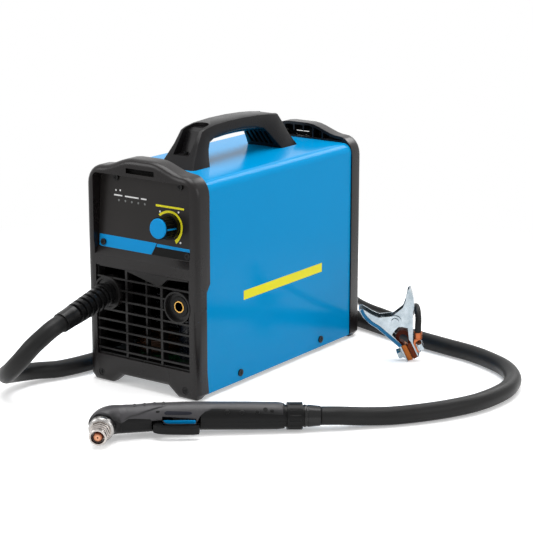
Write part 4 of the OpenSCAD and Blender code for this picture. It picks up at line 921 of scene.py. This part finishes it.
bright_copper, from_axis = turned("turned_bright_copper", ("#C98D6C", "#DBA585"), 0.28, nozzle_at,
                                  tuple(nozzle_euler), 0.5 * MM, 0.02 * MM)
tree = bright_copper.node_tree
# painted shade: the copper is coloured brown from 1.2 mm off the axis out to 4.2 mm
rim_shade = node(tree, "ShaderNodeMapRange", {"Value": off_axis(tree, from_axis), "From Min": 1.2 * MM,
                                          "From Max": 4.2 * MM})
overlaid(bright_copper, rim_shade.outputs["Result"], "#5E2A18")
dressed("nozzle_tip", bright_copper, 0.2 * MM)
dressed("electrode", bright_copper, 0.2 * MM)

# ---------- tail of the torch ----------
# Fluted nylon ring nut that clamps the lead in the handle, and a short rubber boot behind it.
dressed("torch_ring_nut", shell_nylon, 0.4 * MM)
dressed("torch_boot", soft_pvc, 0.3 * MM)

# ---------- clamp ----------
# Two pressed steel channels, zinc plated, that turn on a riveted pin against a torsion spring.
# Copper jaws are bolted into their tips, and a copper braid joins them.
for part in ("clamp_arm_fixed", "clamp_arm_moving"):
    dressed(part, zinc, 0.3 * MM)
dressed("clamp_pin", zinc, 0.25 * MM)

clamp_origin = np.array([161.8, 235.4, 3.6])
clamp_turn = (turned_about(2, math.radians(209.9)) @ turned_about(0, math.radians(83))
              @ turned_about(2, math.radians(65.3)))


def in_clamp(x, y, z):
    """Clamp place to the frame: x from the jaws' tips to the pin, +y the fixed arm's side."""
    return (clamp_turn @ np.array([x, y, z], float) + clamp_origin) * MM + home


# Rolled rim on the near cheek of the moving arm, zinc coloured dark blue: a painted reflection of the blue
# cover. the plating's blue passivation shows most there.
zinc_cover_reflection = finish("zinc_painted_cover_reflection", ("#12405F", "#22648A"), 0.26, 0.7 * MM, 0.02 * MM, metallic=0.85,
                   drift_size=8 * MM)
arm_spread, arm_bend, cheek_z = math.radians(23.5), np.array([16.5, -7.1]), -6.5


def along_arm(rows, inwards):
    """Points on the moving arm's cheek: rows of distance from the bend and bow there, inwards added."""
    rows = np.array(rows, float)
    way = np.array([math.cos(arm_spread), -math.sin(arm_spread)])
    in_way = np.array([math.sin(arm_spread), math.cos(arm_spread)])
    return arm_bend + rows[:, :1] * way + (rows[:, 1:] + inwards) * in_way


arm_rows = [[1, 0], [8, 0], [16, 0], [24, 0], [31, 0], [36, -0.8], [40, -1.4], [45, -1.3], [50, -0.6],
            [54, 0.9], [57, 2.2]]


def on_cheek(x, out, y):
    """Place on the moving arm's near cheek to the frame, out from its face."""
    x, out, y = np.broadcast_arrays(np.asarray(x, float), out, y)
    return np.stack([x, y, cheek_z - out], axis=-1) @ clamp_turn.T * MM + clamp_origin * MM + home


ribbon("clamp_arm_rim", along_arm(arm_rows, 0.5), along_arm(arm_rows, 3.9), zinc_cover_reflection, on_cheek, 0.5,
       "clamp_arm")

spring_steel = finish("coiled_spring_steel", ("#8E9194", "#9CA0A2"), 0.3, 0.5 * MM, 0.01 * MM, metallic=1.0,
                      drift_size=6 * MM)


def crossing(name, material):
    """Stands for a CAD node that crosses the pin: it is attached to no body, and its place is baked into its
    mesh. it follows the unit before start, the arm after end.
    """
    piece = dressed(name, material, 0, body="both")
    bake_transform(piece)


crossing("clamp_spring", spring_steel)
# Jaws: cast copper, the moving one rubbed bright, the other browned by heat.
worn_copper = finish("worn_copper", ("#8A4A20", "#B0662E"), 0.36, 0.8 * MM, 0.04 * MM, metallic=0.7,
                     specular=0.2, drift_size=7 * MM)
brown_copper = finish("heat_browned_copper", ("#4E200D", "#6A2E14"), 0.42, 0.8 * MM, 0.05 * MM,
                      metallic=0.5, specular=0.15, drift_size=7 * MM)
dressed("clamp_jaw_fixed", brown_copper, 0.3 * MM)
dressed("clamp_jaw_moving", worn_copper, 0.3 * MM)
for part in ("clamp_bolt_fixed", "clamp_bolt_moving"):
    dressed(part, zinc, 0.25 * MM)

# Braid: flat woven copper, tarnished dark brown, its strands 1.2 mm wide at 45 degrees.
braid_copper = finish("woven_tarnished_copper", ("#38130A", "#52200F"), 0.5, 0.6 * MM, 0.05 * MM,
                      metallic=0.2, specular=0.1, drift_size=5 * MM)
tree = braid_copper.node_tree
spot = node(tree, "ShaderNodeMapping", {
    "Vector": in_object(tree), "Location": tuple(in_clamp(20, 0, 0)),
    "Rotation": tuple(Vector(clamp_turn[:, 2]).to_track_quat("Z", "Y").to_euler())},
    vector_type="TEXTURE").outputs["Vector"]
weave = [node(tree, "ShaderNodeTexWave", {"Vector": node(tree, "ShaderNodeMapping", {
    "Vector": spot, "Rotation": (0.0, turn_by, turn_by)}).outputs["Vector"], "Scale": wave_unit / (1.2 * MM)},
    bands_direction="X").outputs["Fac"] for turn_by in (math.pi / 4, -math.pi / 4)]
raised(braid_copper, calc(tree, "MULTIPLY", *weave), 0.5 * MM)
crossing("clamp_braid", braid_copper)

# Lug of the work lead: copper tube pressed flat and drilled, crimped on the conductor.
crimped_copper = finish("crimped_copper", ("#A85A35", "#BF7048"), 0.34, 0.7 * MM, 0.03 * MM, metallic=0.9,
                        drift_size=7 * MM)
dressed("cable_lug", crimped_copper, 0.3 * MM)
